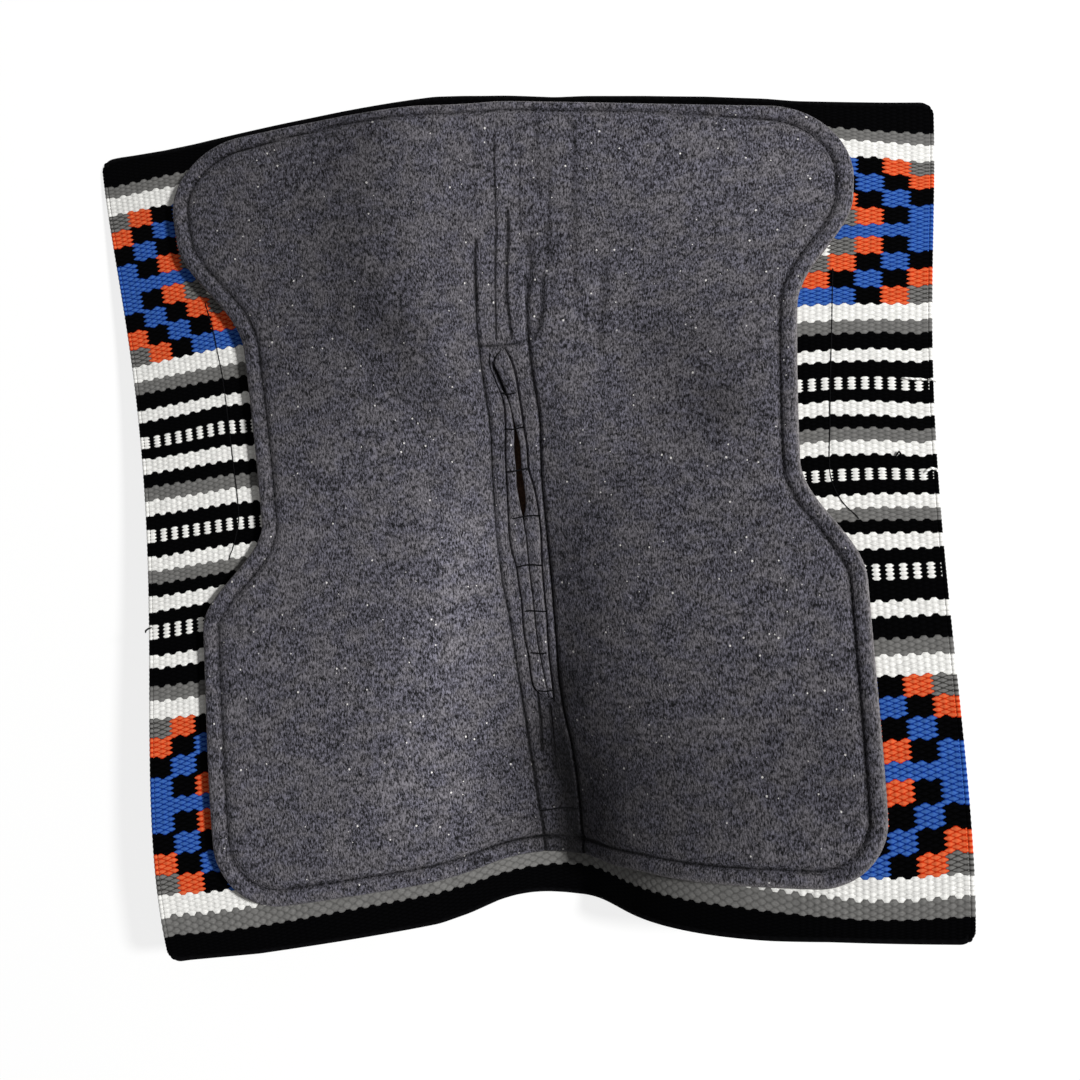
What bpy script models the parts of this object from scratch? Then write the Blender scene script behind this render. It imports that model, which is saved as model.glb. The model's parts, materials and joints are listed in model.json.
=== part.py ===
"""Western saddle pad, lying upside down: a woven blanket, a felt core and a waisted felt lining.

Every piece is first cut flat, as its maker cuts it, in pattern coordinates:
u runs across the pad from the spine line, v runs from the front end to the rear end,
and w is the height above the underside of the felt lining.
All pieces are then creased along one common lattice and laid into the same set shape.
"""

import math

import bmesh
import bpy
import numpy as np

MM = 0.001

# Blanket and layers
BLANKET_WIDTH = 810 * MM
BLANKET_LENGTH = 810 * MM
BLANKET_THICKNESS = 5.0 * MM
CORE_THICKNESS = 5.0 * MM
FELT_THICKNESS = 8.5 * MM
LAYER_GAP = 0.5 * MM
BLANKET_GAP = 0.9 * MM
SEAM_GAP = 0.4 * MM

# Felt lining outline
FELT_FRONT_MARGIN = 7 * MM
FELT_REAR_MARGIN = 41 * MM
FRONT_LOBE_HALF = 332 * MM
WAIST_HALF_LEFT = 276 * MM
WAIST_HALF_RIGHT = 283 * MM
REAR_LOBE_HALF_LEFT = 345 * MM
REAR_LOBE_HALF_RIGHT = 337 * MM
FRONT_CORNER_RADIUS = 80 * MM
REAR_CORNER_RADIUS = 65 * MM
WAIST_FRONT_EASE_LEFT = (112 * MM, 236 * MM)
WAIST_FRONT_EASE_RIGHT = (104 * MM, 228 * MM)
WAIST_REAR_EASE_LEFT = (407 * MM, 502 * MM)
WAIST_REAR_EASE_RIGHT = (388 * MM, 503 * MM)
CORE_INSET = 2.0 * MM

# Felt edge: distance in from the outline, and height as a share of the felt's thickness
EDGE_INSETS = (1.0 * MM, 0.0 * MM, 2.5 * MM, 8.0 * MM, 15.0 * MM, 22.0 * MM)
EDGE_HEIGHT_SHARES = (0.0, 0.5, 0.95, 1.04, 0.64, 1.0)
CREASE_RING = 4

# Spine strip, its slit and the lips round the slit
STRIP_HALF = 28 * MM
SEAM_DIP_SHARE = 0.45
SEAM_DIP_WIDTH = 5 * MM
QUILT_CREASE_OFFSET = 10 * MM
BED_HALF = 16 * MM
QUILT_DIP_SHARE = 0.28
SLIT_CENTRE = 380 * MM
SLIT_HALF_LENGTH = 56 * MM
SLIT_HALF_WIDTH = 4.0 * MM
SLIT_OVERRUN = 8 * MM
LIP_FRONT = 252 * MM
LIP_REAR = 614 * MM
LIP_OUTER = 15 * MM
LIP_CLOSED_HALF = 0.5 * MM
LIP_THICKNESS = 4.4 * MM
LIP_END_WIDTH_SHARE = 0.3
LIP_END_POWER = 8
LIP_BED_SHARE = 0.62
LIP_BED_MARGIN = 3 * MM
LIP_BED_RAMP = 5 * MM
LIP_EDGE_INSETS = (0.6 * MM, 0.0 * MM, 1.6 * MM, 3.6 * MM)
LIP_EDGE_HEIGHT_SHARES = (0.0, 0.45, 0.88, 1.0)

# Threads and cords
THREAD_RADIUS = 0.6 * MM
THREAD_GAP = 0.4 * MM
THREAD_SIDES = 4
BRIDGE_PLACES = (
    299 * MM,
    336 * MM,
    379 * MM,
    427 * MM,
    477 * MM,
    524 * MM,
    567 * MM,
    606 * MM,
)
END_BAR_MARGIN = 82 * MM
END_BAR_HALF = 26 * MM
WAIST_STITCH_SPAN = (180 * MM, 440 * MM)
WAIST_STITCH_OFFSET = 30 * MM
WAIST_STITCH_FLARE = 15 * MM
WAIST_STITCH_POWER = 8
CORD_RADIUS = 2.4 * MM
CORD_RISE = 0.6 * MM
CORD_SIDES = 8
KNOT_RADIUS = 3.0 * MM
EDGE_GAP = 0.4 * MM

# Set shape, with each row of values read at even stations from the front end to the rear end
WALL_DEGREES = {"left": (12.0, 29.0, 26.0), "right": (-2.0, 29.0, 60.0)}
FLAP_DEGREES = {"left": (-7.6, -1.8, 5.5), "right": (-1.8, 4.5, 8.5)}
WALL_REACH = 152 * MM
SPINE_ROUND = 34 * MM
SPINE_SWAY = (2.0 * MM, -11.1 * MM, -12.8 * MM, -5.2 * MM, -2.8 * MM)
FRONT_LIFT = 12 * MM
FRONT_LIFT_SPAN_SHARE = 0.35
SWEEP_OUT_LEFT = (20.9 * MM, -11.7 * MM, -22.7 * MM, -5.0 * MM, -7.5 * MM)
SWEEP_OUT_RIGHT = (26.2 * MM, 13.5 * MM, -0.4 * MM, -5.0 * MM, -4.2 * MM)
SWEEP_BACK_LEFT = (15.5 * MM, 3.8 * MM, 5.9 * MM, 15.1 * MM, 23.3 * MM)
SWEEP_BACK_RIGHT = (50.6 * MM, 31.5 * MM, 13.6 * MM, 19.2 * MM, 18.5 * MM)
BELLY_BACK_LEFT = (-3.0 * MM, -0.4 * MM, 0.5 * MM)
BELLY_BACK_RIGHT = (3.1 * MM, -0.2 * MM, 4.5 * MM)
REST_FLAT = 0.5 * MM

# Shift of the spine strip to the right: its value at the front end, then each change and where it takes place
STRIP_SHIFT_FRONT = -7 * MM
STRIP_SHIFT_CHANGES = (11 * MM, -5 * MM, 8 * MM)
STRIP_SHIFT_STARTS = (245 * MM, 430 * MM, 620 * MM)
STRIP_SHIFT_ENDS = (345 * MM, 600 * MM, 720 * MM)
STRIP_SHIFT_REACH = 70 * MM

# Lattice that all layers are creased along
SPINE_COLUMNS = (0 * MM, 5 * MM, 10 * MM, 16 * MM, 22 * MM, 28 * MM)
FLAP_COLUMN_SHARES = (0.1, 0.15, 0.205, 0.275, 0.37, 0.49, 0.64, 0.81)
ROW_COUNT = 14
CUT_TOLERANCE = 0.001 * MM
SAMPLE_STEP = 0.4 * MM
SLOPE_STEPS = 40
ARC_STEPS = 7
EASE_STEPS = 8
SHARP_DEGREES = 40

BLANKET_HALF = BLANKET_WIDTH / 2
CORE_BOTTOM = -LAYER_GAP - CORE_THICKNESS
BLANKET_TOP = CORE_BOTTOM - BLANKET_GAP
BLANKET_BOTTOM = BLANKET_TOP - BLANKET_THICKNESS
END_BAR_PLACE = BLANKET_LENGTH - END_BAR_MARGIN
WAIST_HALF = {"left": WAIST_HALF_LEFT, "right": WAIST_HALF_RIGHT}
REAR_LOBE_HALF = {"left": REAR_LOBE_HALF_LEFT, "right": REAR_LOBE_HALF_RIGHT}
WAIST_FRONT_EASE = {"left": WAIST_FRONT_EASE_LEFT, "right": WAIST_FRONT_EASE_RIGHT}
WAIST_REAR_EASE = {"left": WAIST_REAR_EASE_LEFT, "right": WAIST_REAR_EASE_RIGHT}
SWEEP_OUT = {"left": SWEEP_OUT_LEFT, "right": SWEEP_OUT_RIGHT}
SWEEP_BACK = {"left": SWEEP_BACK_LEFT, "right": SWEEP_BACK_RIGHT}
BELLY_BACK = {"left": BELLY_BACK_LEFT, "right": BELLY_BACK_RIGHT}


def clear_scene():
    for item in list(bpy.data.objects):
        bpy.data.objects.remove(item, do_unlink=True)


def ease(share):
    """Smooth step from 0 to 1."""
    share = np.clip(share, 0.0, 1.0)
    return (1 - np.cos(np.pi * share)) / 2


def through_stations(values, share):
    """Smooth curve through values at even stations from the front end to the rear end."""
    places = np.linspace(0.0, 1.0, len(values))
    total = 0.0
    for index, value in enumerate(values):
        weight = 1.0
        for other in np.delete(places, index):
            weight = weight * (share - other) / (places[index] - other)
        total = total + value * weight
    return total


def both_sides(table, share, on_right):
    return np.where(on_right, through_stations(table["right"], share), through_stations(table["left"], share))


def strip_shift(v):
    """How far the middle line of the spine strip lies to the right of the spine line."""
    shift = STRIP_SHIFT_FRONT
    for change, start, end in zip(STRIP_SHIFT_CHANGES, STRIP_SHIFT_STARTS, STRIP_SHIFT_ENDS):
        shift = shift + change * ease((v - start) / (end - start))
    return shift


def middle_surface(u, v):
    """Points of the set pad at w = 0: walls rise from the spine and flatten out in the flaps."""
    share = v / BLANKET_LENGTH
    reach = np.abs(u)
    on_right = u >= 0
    steps = (np.arange(SLOPE_STEPS) + 0.5) / SLOPE_STEPS
    along = reach[..., None] * steps
    wall = np.radians(both_sides(WALL_DEGREES, share, on_right))[..., None]
    flap = np.radians(both_sides(FLAP_DEGREES, share, on_right))[..., None]
    slope = (flap + (wall - flap) * np.exp(-((along / WALL_REACH) ** 2))) * np.tanh(along / SPINE_ROUND)
    across = np.cos(slope).mean(-1) * reach
    rise = np.sin(slope).mean(-1) * reach
    flap_share = reach / BLANKET_HALF
    across = across + both_sides(SWEEP_OUT, share, on_right) * flap_share
    back = both_sides(SWEEP_BACK, share, on_right) * flap_share
    back = back + both_sides(BELLY_BACK, share, on_right) * 4 * flap_share * (1 - flap_share)
    sway = through_stations(SPINE_SWAY, share) + strip_shift(v) * np.exp(-((reach / STRIP_SHIFT_REACH) ** 2))
    lift = FRONT_LIFT * np.clip(1 - share / FRONT_LIFT_SPAN_SHARE, 0, None) ** 2
    return np.stack([np.sign(u) * across + sway, BLANKET_LENGTH / 2 - v - back, lift + rise], -1)


def set_points(flat):
    """Lay pattern points (u, v, w) into the set shape."""
    flat = np.asarray(flat, dtype=float)
    u, v, w = flat[..., 0], flat[..., 1], flat[..., 2]
    across = middle_surface(u + SAMPLE_STEP, v) - middle_surface(u - SAMPLE_STEP, v)
    ahead = middle_surface(u, v - SAMPLE_STEP) - middle_surface(u, v + SAMPLE_STEP)
    normal = np.cross(across, ahead)
    normal /= np.linalg.norm(normal, axis=-1, keepdims=True)
    return middle_surface(u, v) + normal * w[..., None]


def lattice_columns():
    offsets = SPINE_COLUMNS + tuple(share * BLANKET_HALF for share in FLAP_COLUMN_SHARES)
    return sorted({side * offset for offset in offsets for side in (-1, 1)})


def lattice_rows():
    """Even rows, and the rows where the bed under the slit lips begins and ends."""
    rows = [BLANKET_LENGTH * row / ROW_COUNT for row in range(1, ROW_COUNT)]
    for margin in (LIP_BED_MARGIN, LIP_BED_MARGIN + LIP_BED_RAMP):
        rows += [LIP_FRONT - margin, LIP_REAR + margin]
    return sorted(rows)


def cut_flat(mesh, point, normal, **options):
    geometry = mesh.verts[:] + mesh.edges[:] + mesh.faces[:]
    bmesh.ops.bisect_plane(mesh, geom=geometry, dist=CUT_TOLERANCE, plane_co=point, plane_no=normal, **options)


def crease_along_lattice(mesh):
    for column in lattice_columns():
        cut_flat(mesh, (column, 0, 0), (1, 0, 0))
    for row in lattice_rows():
        cut_flat(mesh, (0, row, 0), (0, 1, 0))


def split_cells(mesh):
    """Split each four-sided cell along the same diagonal, so that stacked layers bend alike."""
    for face in list(mesh.faces):
        if len(face.verts) == 4 and abs(face.normal.z) > 0.5:
            corner = min(face.verts, key=lambda vert: vert.co.x + vert.co.y)
            opposite = max(face.verts, key=lambda vert: vert.co.x + vert.co.y)
            if not any(corner in edge.verts and opposite in edge.verts for edge in face.edges):
                bmesh.utils.face_split(face, corner, opposite)
    bmesh.ops.triangulate(mesh, faces=mesh.faces[:])


def stack_rings(rings):
    """Closed flat piece from rings of points, with the first as its underside and the last as its top."""
    mesh = bmesh.new()
    layers = [[mesh.verts.new(point) for point in ring] for ring in rings]
    count = len(layers[0])
    for low, high in zip(layers, layers[1:]):
        for index in range(count):
            following = (index + 1) % count
            mesh.faces.new((low[index], low[following], high[following], high[index]))
    mesh.faces.new(layers[0])
    mesh.faces.new(layers[-1])
    face_outward(mesh)
    return mesh


def inset_outline(outline, distance):
    """Move each point of a closed outline inward by a distance along its normal."""
    points = np.asarray(outline)
    along = np.roll(points, -1, axis=0) - np.roll(points, 1, axis=0)
    inward = np.stack([-along[:, 1], along[:, 0]], -1)
    inward /= np.linalg.norm(inward, axis=1, keepdims=True)
    return points + inward * distance


def felt_half_width(side, v):
    start, end = WAIST_FRONT_EASE[side]
    front = FRONT_LOBE_HALF + (WAIST_HALF[side] - FRONT_LOBE_HALF) * ease((v - start) / (end - start))
    start, end = WAIST_REAR_EASE[side]
    return front + (REAR_LOBE_HALF[side] - WAIST_HALF[side]) * ease((v - start) / (end - start))


def felt_side(side):
    """Outline of one half of the lining, from its front end to its rear end."""
    front = FELT_FRONT_MARGIN
    rear = BLANKET_LENGTH - FELT_REAR_MARGIN
    points = []
    for step in range(ARC_STEPS + 1):
        angle = math.pi / 2 * step / ARC_STEPS
        points.append((
            FRONT_LOBE_HALF - FRONT_CORNER_RADIUS * (1 - math.sin(angle)),
            front + FRONT_CORNER_RADIUS * (1 - math.cos(angle)),
        ))
    for start, end in (WAIST_FRONT_EASE[side], WAIST_REAR_EASE[side]):
        for step in range(EASE_STEPS + 1):
            v = start + (end - start) * step / EASE_STEPS
            points.append((float(felt_half_width(side, v)), v))
    for step in range(ARC_STEPS + 1):
        angle = math.pi / 2 * step / ARC_STEPS
        points.append((
            REAR_LOBE_HALF[side] - REAR_CORNER_RADIUS * (1 - math.cos(angle)),
            rear - REAR_CORNER_RADIUS * (1 - math.sin(angle)),
        ))
    return points


def felt_outline():
    """Closed outline of the lining: two lobes joined by a waist, anticlockwise in (u, v)."""
    return felt_side("right") + [(-u, v) for u, v in reversed(felt_side("left"))]


def crease_depth(u, v):
    """Share of the felt's thickness that the seams and the quilting take away at a point."""
    offset = abs(u)
    seam = SEAM_DIP_SHARE * math.exp(-(((offset - STRIP_HALF) / SEAM_DIP_WIDTH) ** 2))
    if offset > STRIP_HALF:
        return seam
    beyond = max(LIP_FRONT - v, v - LIP_REAR) - LIP_BED_MARGIN
    bed_share = 1 - min(1.0, max(0.0, beyond / LIP_BED_RAMP))
    side_share = float(ease((STRIP_HALF - offset) / (STRIP_HALF - BED_HALF)))
    bed = (1 - LIP_BED_SHARE) * bed_share * side_share
    fade = float(ease(v / LIP_FRONT)) if v < LIP_FRONT else 1.0
    quilt = QUILT_DIP_SHARE * math.exp(-(((offset - QUILT_CREASE_OFFSET) / SEAM_DIP_WIDTH) ** 2))
    return max(seam, bed, quilt * fade * (1 - bed_share))


def finish_piece(name, mesh, material, top=None):
    """Crease a flat piece, shape its top, lay it into the set shape and make its object."""
    crease_along_lattice(mesh)
    split_cells(mesh)
    for vert in mesh.verts:
        if top is not None and vert.co.z > 0:
            vert.co.z *= 1 - top(vert.co.x, vert.co.y)
    placed = set_points([vert.co[:] for vert in mesh.verts])
    for vert, point in zip(mesh.verts, placed):
        vert.co = point
    return add_object(name, mesh, material)


def face_outward(mesh):
    bmesh.ops.recalc_face_normals(mesh, faces=mesh.faces[:])
    if mesh.calc_volume(signed=True) < 0:
        bmesh.ops.reverse_faces(mesh, faces=mesh.faces[:])


def add_object(name, mesh, material):
    face_outward(mesh)
    data = bpy.data.meshes.new(name)
    mesh.to_mesh(data)
    mesh.free()
    data.materials.append(material)
    data.shade_smooth()
    data.set_sharp_from_angle(angle=math.radians(SHARP_DEGREES))
    piece = bpy.data.objects.new(name, data)
    bpy.context.scene.collection.objects.link(piece)
    return piece


def add_material(name, colour, roughness):
    material = bpy.data.materials.new(name)
    material.use_nodes = True
    surface = material.node_tree.nodes["Principled BSDF"]
    surface.inputs["Base Color"].default_value = (*colour, 1)
    surface.inputs["Roughness"].default_value = roughness
    surface.inputs["Metallic"].default_value = 0.0
    return material


def add_tube(name, points, radius, sides, material, closed=False):
    """Thread or cord through points that are already in the set shape."""
    curve = bpy.data.curves.new(name, "CURVE")
    curve.dimensions = "3D"
    curve.bevel_depth = radius
    curve.bevel_resolution = (sides - 4) // 2
    curve.use_fill_caps = not closed
    spline = curve.splines.new("POLY")
    spline.points.add(len(points) - 1)
    for target, point in zip(spline.points, points):
        target.co = (*point, 1)
    spline.use_cyclic_u = closed
    curve.materials.append(material)
    tube = bpy.data.objects.new(name, curve)
    bpy.context.scene.collection.objects.link(tube)
    return tube


def lattice_crossings(start, end):
    """Shares of a straight pattern line at which it crosses the lattice."""
    shares = []
    for axis, lines in ((0, lattice_columns()), (1, lattice_rows())):
        for line in lines:
            if (start[axis] - line) * (end[axis] - line) < 0:
                shares.append((line - start[axis]) / (end[axis] - start[axis]))
    return sorted(shares)


def follow_lattice(points, closed=False):
    """Add a point wherever a flat route crosses the lattice, and drop points that nearly coincide."""
    route = []
    ends = points[1:] + points[:1] if closed else points[1:]
    for start, end in zip(points, ends):
        route.append(np.array(start))
        for share in lattice_crossings(start, end):
            route.append(np.array(start) + share * (np.array(end) - np.array(start)))
    if not closed:
        route.append(np.array(points[-1]))
    kept = [route[0]]
    for point in route[1:]:
        if np.linalg.norm(point - kept[-1]) > 2 * THREAD_RADIUS:
            kept.append(point)
    return kept


def build_blanket(material):
    half, length = BLANKET_HALF, BLANKET_LENGTH
    corners = [(-half, 0), (half, 0), (half, length), (-half, length)]
    rings = [[(u, v, w) for u, v in corners] for w in (BLANKET_BOTTOM, BLANKET_TOP)]
    blanket = finish_piece("woven_blanket", stack_rings(rings), material)
    mesh = bmesh.new()
    mesh.from_mesh(blanket.data)
    floor = min(vert.co.z for vert in mesh.verts) + REST_FLAT
    cut_flat(mesh, (0, 0, floor), (0, 0, -1), clear_outer=True)
    open_edges = [edge for edge in mesh.edges if edge.is_boundary]
    caps = bmesh.ops.holes_fill(mesh, edges=open_edges, sides=0)
    bmesh.ops.triangulate(mesh, faces=caps["faces"])
    mesh.to_mesh(blanket.data)
    mesh.free()
    return blanket, floor


def build_core(material):
    outline = inset_outline(felt_outline(), CORE_INSET)
    rings = [[(u, v, w) for u, v in outline] for w in (CORE_BOTTOM, CORE_BOTTOM + CORE_THICKNESS)]
    finish_piece("inner_core_felt", stack_rings(rings), material)


def felt_rings():
    outline = felt_outline()
    rings = []
    for distance, height in zip(EDGE_INSETS, EDGE_HEIGHT_SHARES):
        rings.append([(u, v, height * FELT_THICKNESS) for u, v in inset_outline(outline, distance)])
    return rings


def keep_between(mesh, low, high):
    """Keep the part of a flat piece between two distances to the right of the spine line."""
    for place, outward in ((low, -1), (high, 1)):
        if place is None:
            continue
        cut_flat(mesh, (place, 0, 0), (outward, 0, 0), clear_outer=True)
        open_edges = [edge for edge in mesh.edges if edge.is_boundary]
        bmesh.ops.holes_fill(mesh, edges=open_edges, sides=0)


def slit_half_width(v):
    return SLIT_HALF_WIDTH * max(0.0, 1 - ((v - SLIT_CENTRE) / SLIT_HALF_LENGTH) ** 2)


def build_felt_panels(material):
    """The two halves of the lining, cut from one pattern along the seams of the spine strip."""
    inner = STRIP_HALF + SEAM_GAP / 2
    for name, low, high in (("felt_lining_left", None, -inner), ("felt_lining_right", inner, None)):
        mesh = stack_rings(felt_rings())
        keep_between(mesh, low, high)
        finish_piece(name, mesh, material, crease_depth)


def slit_stations(start, end, count):
    return [start + (end - start) * step / count for step in range(count + 1)]


def build_spine_strip(material):
    """Middle strip of the lining, with the lens-shaped slit cut through it."""
    mesh = stack_rings(felt_rings())
    keep_between(mesh, SEAM_GAP / 2 - STRIP_HALF, STRIP_HALF - SEAM_GAP / 2)
    strip = add_object("flat_spine_strip", mesh, material)
    front = SLIT_CENTRE - SLIT_HALF_LENGTH
    rear = SLIT_CENTRE + SLIT_HALF_LENGTH
    places = slit_stations(front, rear, EASE_STEPS)
    right = [(slit_half_width(v), v) for v in places]
    left = [(-slit_half_width(v), v) for v in reversed(places[1:-1])]
    rings = [[(u, v, w) for u, v in right + left] for w in (-SLIT_OVERRUN, FELT_THICKNESS + SLIT_OVERRUN)]
    cutter = add_object("slit_cutter", stack_rings(rings), material)
    cutter.hide_render = True
    cutter.display_type = "WIRE"
    opening = strip.modifiers.new("slit", "BOOLEAN")
    opening.operation = "DIFFERENCE"
    opening.object = cutter
    shape = bpy.context.evaluated_depsgraph_get()
    mesh = bmesh.new()
    mesh.from_mesh(strip.evaluated_get(shape).to_mesh())
    for item in (strip, cutter):
        bpy.data.objects.remove(item)
    finish_piece("spine_strip", mesh, material, crease_depth)


def lip_outline(side):
    """One lip of the slit: straight outer edge, inner edge along the slit, both ends drawn in."""
    places = slit_stations(LIP_FRONT, LIP_REAR, 2 * EASE_STEPS)
    outer = []
    inner = []
    for v in places:
        along = (2 * v - LIP_FRONT - LIP_REAR) / (LIP_REAR - LIP_FRONT)
        taper = math.sqrt(max(0.0, 1 - along**LIP_END_POWER))
        width_share = LIP_END_WIDTH_SHARE + (1 - LIP_END_WIDTH_SHARE) * taper
        low = LIP_CLOSED_HALF + slit_half_width(v)
        high = low + (LIP_OUTER - low) * width_share
        inner.append((side * low, v))
        outer.append((side * high, v))
    outline = outer + inner[::-1]
    return outline if side > 0 else outline[::-1]


def build_lips(material):
    bed = LIP_BED_SHARE * FELT_THICKNESS + LAYER_GAP
    for name, side in (("slit_lip_left", -1), ("slit_lip_right", 1)):
        rings = []
        for distance, height in zip(LIP_EDGE_INSETS, LIP_EDGE_HEIGHT_SHARES):
            ring = inset_outline(lip_outline(side), distance)
            rings.append([(u, v, bed + height * LIP_THICKNESS) for u, v in ring])
        finish_piece(name, stack_rings(rings), material)


def build_threads(material):
    lift = THREAD_RADIUS + THREAD_GAP
    groove = EDGE_HEIGHT_SHARES[CREASE_RING] * FELT_THICKNESS
    ring = [(u, v) for u, v in inset_outline(felt_outline(), EDGE_INSETS[CREASE_RING])]
    path = set_route(ring, groove + lift, True)
    add_tube("perimeter_stitch", path, THREAD_RADIUS, THREAD_SIDES, material, closed=True)
    lip_top = LIP_BED_SHARE * FELT_THICKNESS + LAYER_GAP + LIP_THICKNESS + lift
    for number, place in enumerate(BRIDGE_PLACES, start=1):
        ends = [(side * LIP_OUTER, place) for side in (-1, 1)]
        add_tube(f"bridge_stitch_{number}", set_route(ends, lip_top), THREAD_RADIUS, THREAD_SIDES, material)
    ends = [(side * END_BAR_HALF, END_BAR_PLACE) for side in (-1, 1)]
    add_tube("end_bar_stitch", set_route(ends, FELT_THICKNESS + lift), THREAD_RADIUS, THREAD_SIDES, material)
    start, end = WAIST_STITCH_SPAN
    for side, sign in (("left", -1), ("right", 1)):
        route = []
        for v in slit_stations(start, end, 2 * EASE_STEPS):
            flare = WAIST_STITCH_FLARE * ((v - start) / (end - start)) ** WAIST_STITCH_POWER
            route.append((sign * (WAIST_HALF[side] + WAIST_STITCH_OFFSET + flare), v))
        path = set_route(route, BLANKET_TOP + lift)
        add_tube(f"waist_stitch_{side}", path, THREAD_RADIUS, THREAD_SIDES, material)


def set_route(points, height, closed=False):
    flat = [(u, v, height) for u, v in points]
    return set_points(np.array(follow_lattice(flat, closed)))


def build_edge_cords(selvedge, header):
    """Selvedge cords along the sides, header cords along the ends and a knot at each corner."""
    height = BLANKET_TOP - BLANKET_THICKNESS / 2 + CORD_RISE
    out = EDGE_GAP + CORD_RADIUS
    knot_out = (KNOT_RADIUS + EDGE_GAP) / math.sqrt(2)
    start = KNOT_RADIUS + 2 * EDGE_GAP - knot_out
    for name, side in (("selvedge_cord_left", -1), ("selvedge_cord_right", 1)):
        u = side * (BLANKET_HALF + out)
        ends = [(u, start), (u, BLANKET_LENGTH - start)]
        add_tube(name, set_route(ends, height), CORD_RADIUS, CORD_SIDES, selvedge)
    for name, v in (("header_cord_front", -out), ("header_cord_rear", BLANKET_LENGTH + out)):
        ends = [(start - BLANKET_HALF, v), (BLANKET_HALF - start, v)]
        add_tube(name, set_route(ends, height), CORD_RADIUS, CORD_SIDES, header)
    knot_height = BLANKET_BOTTOM + KNOT_RADIUS + CORD_RISE
    for end_name, v in (("front", -knot_out), ("rear", BLANKET_LENGTH + knot_out)):
        for side_name, side in (("left", -1), ("right", 1)):
            mesh = bmesh.new()
            bmesh.ops.create_uvsphere(mesh, u_segments=10, v_segments=6, radius=KNOT_RADIUS)
            knot = add_object(f"corner_knot_{end_name}_{side_name}", mesh, header)
            knot.location = set_points((side * (BLANKET_HALF + knot_out), v, knot_height))


def stand_on_floor(floor):
    """Parent every piece to one empty, which sets the pad on the floor, centred on its origin."""
    bpy.context.view_layer.update()
    shape = bpy.context.evaluated_depsgraph_get()
    pieces = [item for item in bpy.context.scene.collection.objects if item.type in {"MESH", "CURVE"}]
    corners = []
    for piece in pieces:
        box = piece.evaluated_get(shape).bound_box
        corners += [np.array(piece.matrix_world)[:3, :3] @ np.array(corner) + piece.location for corner in box]
    corners = np.array(corners)
    middle = (corners.min(axis=0) + corners.max(axis=0)) / 2
    anchor = bpy.data.objects.new("saddle_pad", None)
    anchor.location = (-middle[0], -middle[1], -floor)
    bpy.context.scene.collection.objects.link(anchor)
    group = bpy.data.collections.new("western_saddle_pad")
    bpy.context.scene.collection.children.link(group)
    for piece in pieces:
        piece.parent = anchor
        group.objects.link(piece)
        bpy.context.scene.collection.objects.unlink(piece)


def main():
    clear_scene()
    wool = add_material("woven wool", (0.16, 0.16, 0.17), 0.95)
    felt = add_material("charcoal felt", (0.075, 0.073, 0.085), 1.0)
    core = add_material("brown core felt", (0.09, 0.055, 0.035), 1.0)
    cord = add_material("black wool cord", (0.010, 0.010, 0.012), 0.9)
    thread = add_material("black waxed thread", (0.008, 0.008, 0.009), 0.6)
    floor = build_blanket(wool)[1]
    build_core(core)
    build_felt_panels(felt)
    build_spine_strip(felt)
    build_lips(felt)
    build_threads(thread)
    build_edge_cords(wool, cord)
    stand_on_floor(floor)


main()
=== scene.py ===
"""Western saddle pad lying upside down: a striped wool blanket, a felt core and a waisted felt lining.

Every piece is drawn flat in pattern coordinates, as its maker cuts it, and then laid into the set shape:
u runs across the pad from the spine line, v runs from the front end to the rear end, and w is the height
above the underside of the felt lining.
"""

import json
import math

import bpy
import numpy as np
from mathutils import Euler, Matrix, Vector
from mathutils.kdtree import KDTree

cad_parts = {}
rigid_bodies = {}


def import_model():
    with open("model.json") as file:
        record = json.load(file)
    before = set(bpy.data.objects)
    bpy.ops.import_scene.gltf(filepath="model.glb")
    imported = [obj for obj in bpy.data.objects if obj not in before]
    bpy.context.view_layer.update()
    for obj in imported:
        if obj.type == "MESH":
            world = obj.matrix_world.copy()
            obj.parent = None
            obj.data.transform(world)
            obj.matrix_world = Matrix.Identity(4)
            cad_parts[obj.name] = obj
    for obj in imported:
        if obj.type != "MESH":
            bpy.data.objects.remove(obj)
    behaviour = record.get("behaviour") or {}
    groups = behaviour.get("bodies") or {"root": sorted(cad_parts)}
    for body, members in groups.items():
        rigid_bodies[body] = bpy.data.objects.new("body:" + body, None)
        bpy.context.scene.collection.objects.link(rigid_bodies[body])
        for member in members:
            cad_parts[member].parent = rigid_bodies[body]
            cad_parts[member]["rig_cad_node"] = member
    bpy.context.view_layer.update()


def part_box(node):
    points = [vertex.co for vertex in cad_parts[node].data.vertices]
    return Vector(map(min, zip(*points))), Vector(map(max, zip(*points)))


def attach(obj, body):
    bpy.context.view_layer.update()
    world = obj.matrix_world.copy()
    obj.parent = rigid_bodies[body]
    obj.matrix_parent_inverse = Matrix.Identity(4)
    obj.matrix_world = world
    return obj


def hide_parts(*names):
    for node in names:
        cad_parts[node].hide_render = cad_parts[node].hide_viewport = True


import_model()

bl_info = {
    "name": "Western saddle pad",
    "version": (1, 0, 0),
    "blender": (4, 5, 0),
    "location": "View3D > Sidebar > Saddle pad",
    "description": "Builds the woven blanket, felt lining, slit, stitching and cords of a saddle pad",
    "category": "Add Mesh",
}

MM = 0.001
SIDES = (("left", -1), ("right", 1))
ENDS = (("front", -1), ("rear", 1))

# Set shape. A row of values is read at even stations from the front end to the rear end.
# Slopes of the walls beside the spine and of the flaps at the sides, and how far out the walls reach
WALL_DEGREES = {"left": (12.0, 29.0, 26.0), "right": (-2.0, 29.0, 60.0)}
FLAP_DEGREES = {"left": (-7.6, -1.8, 5.5), "right": (-1.8, 4.5, 8.5)}
WALL_REACH = 152 * MM
SPINE_ROUND = 34 * MM
FRONT_LIFT = 12 * MM
FRONT_LIFT_SPAN_SHARE = 0.35
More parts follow.
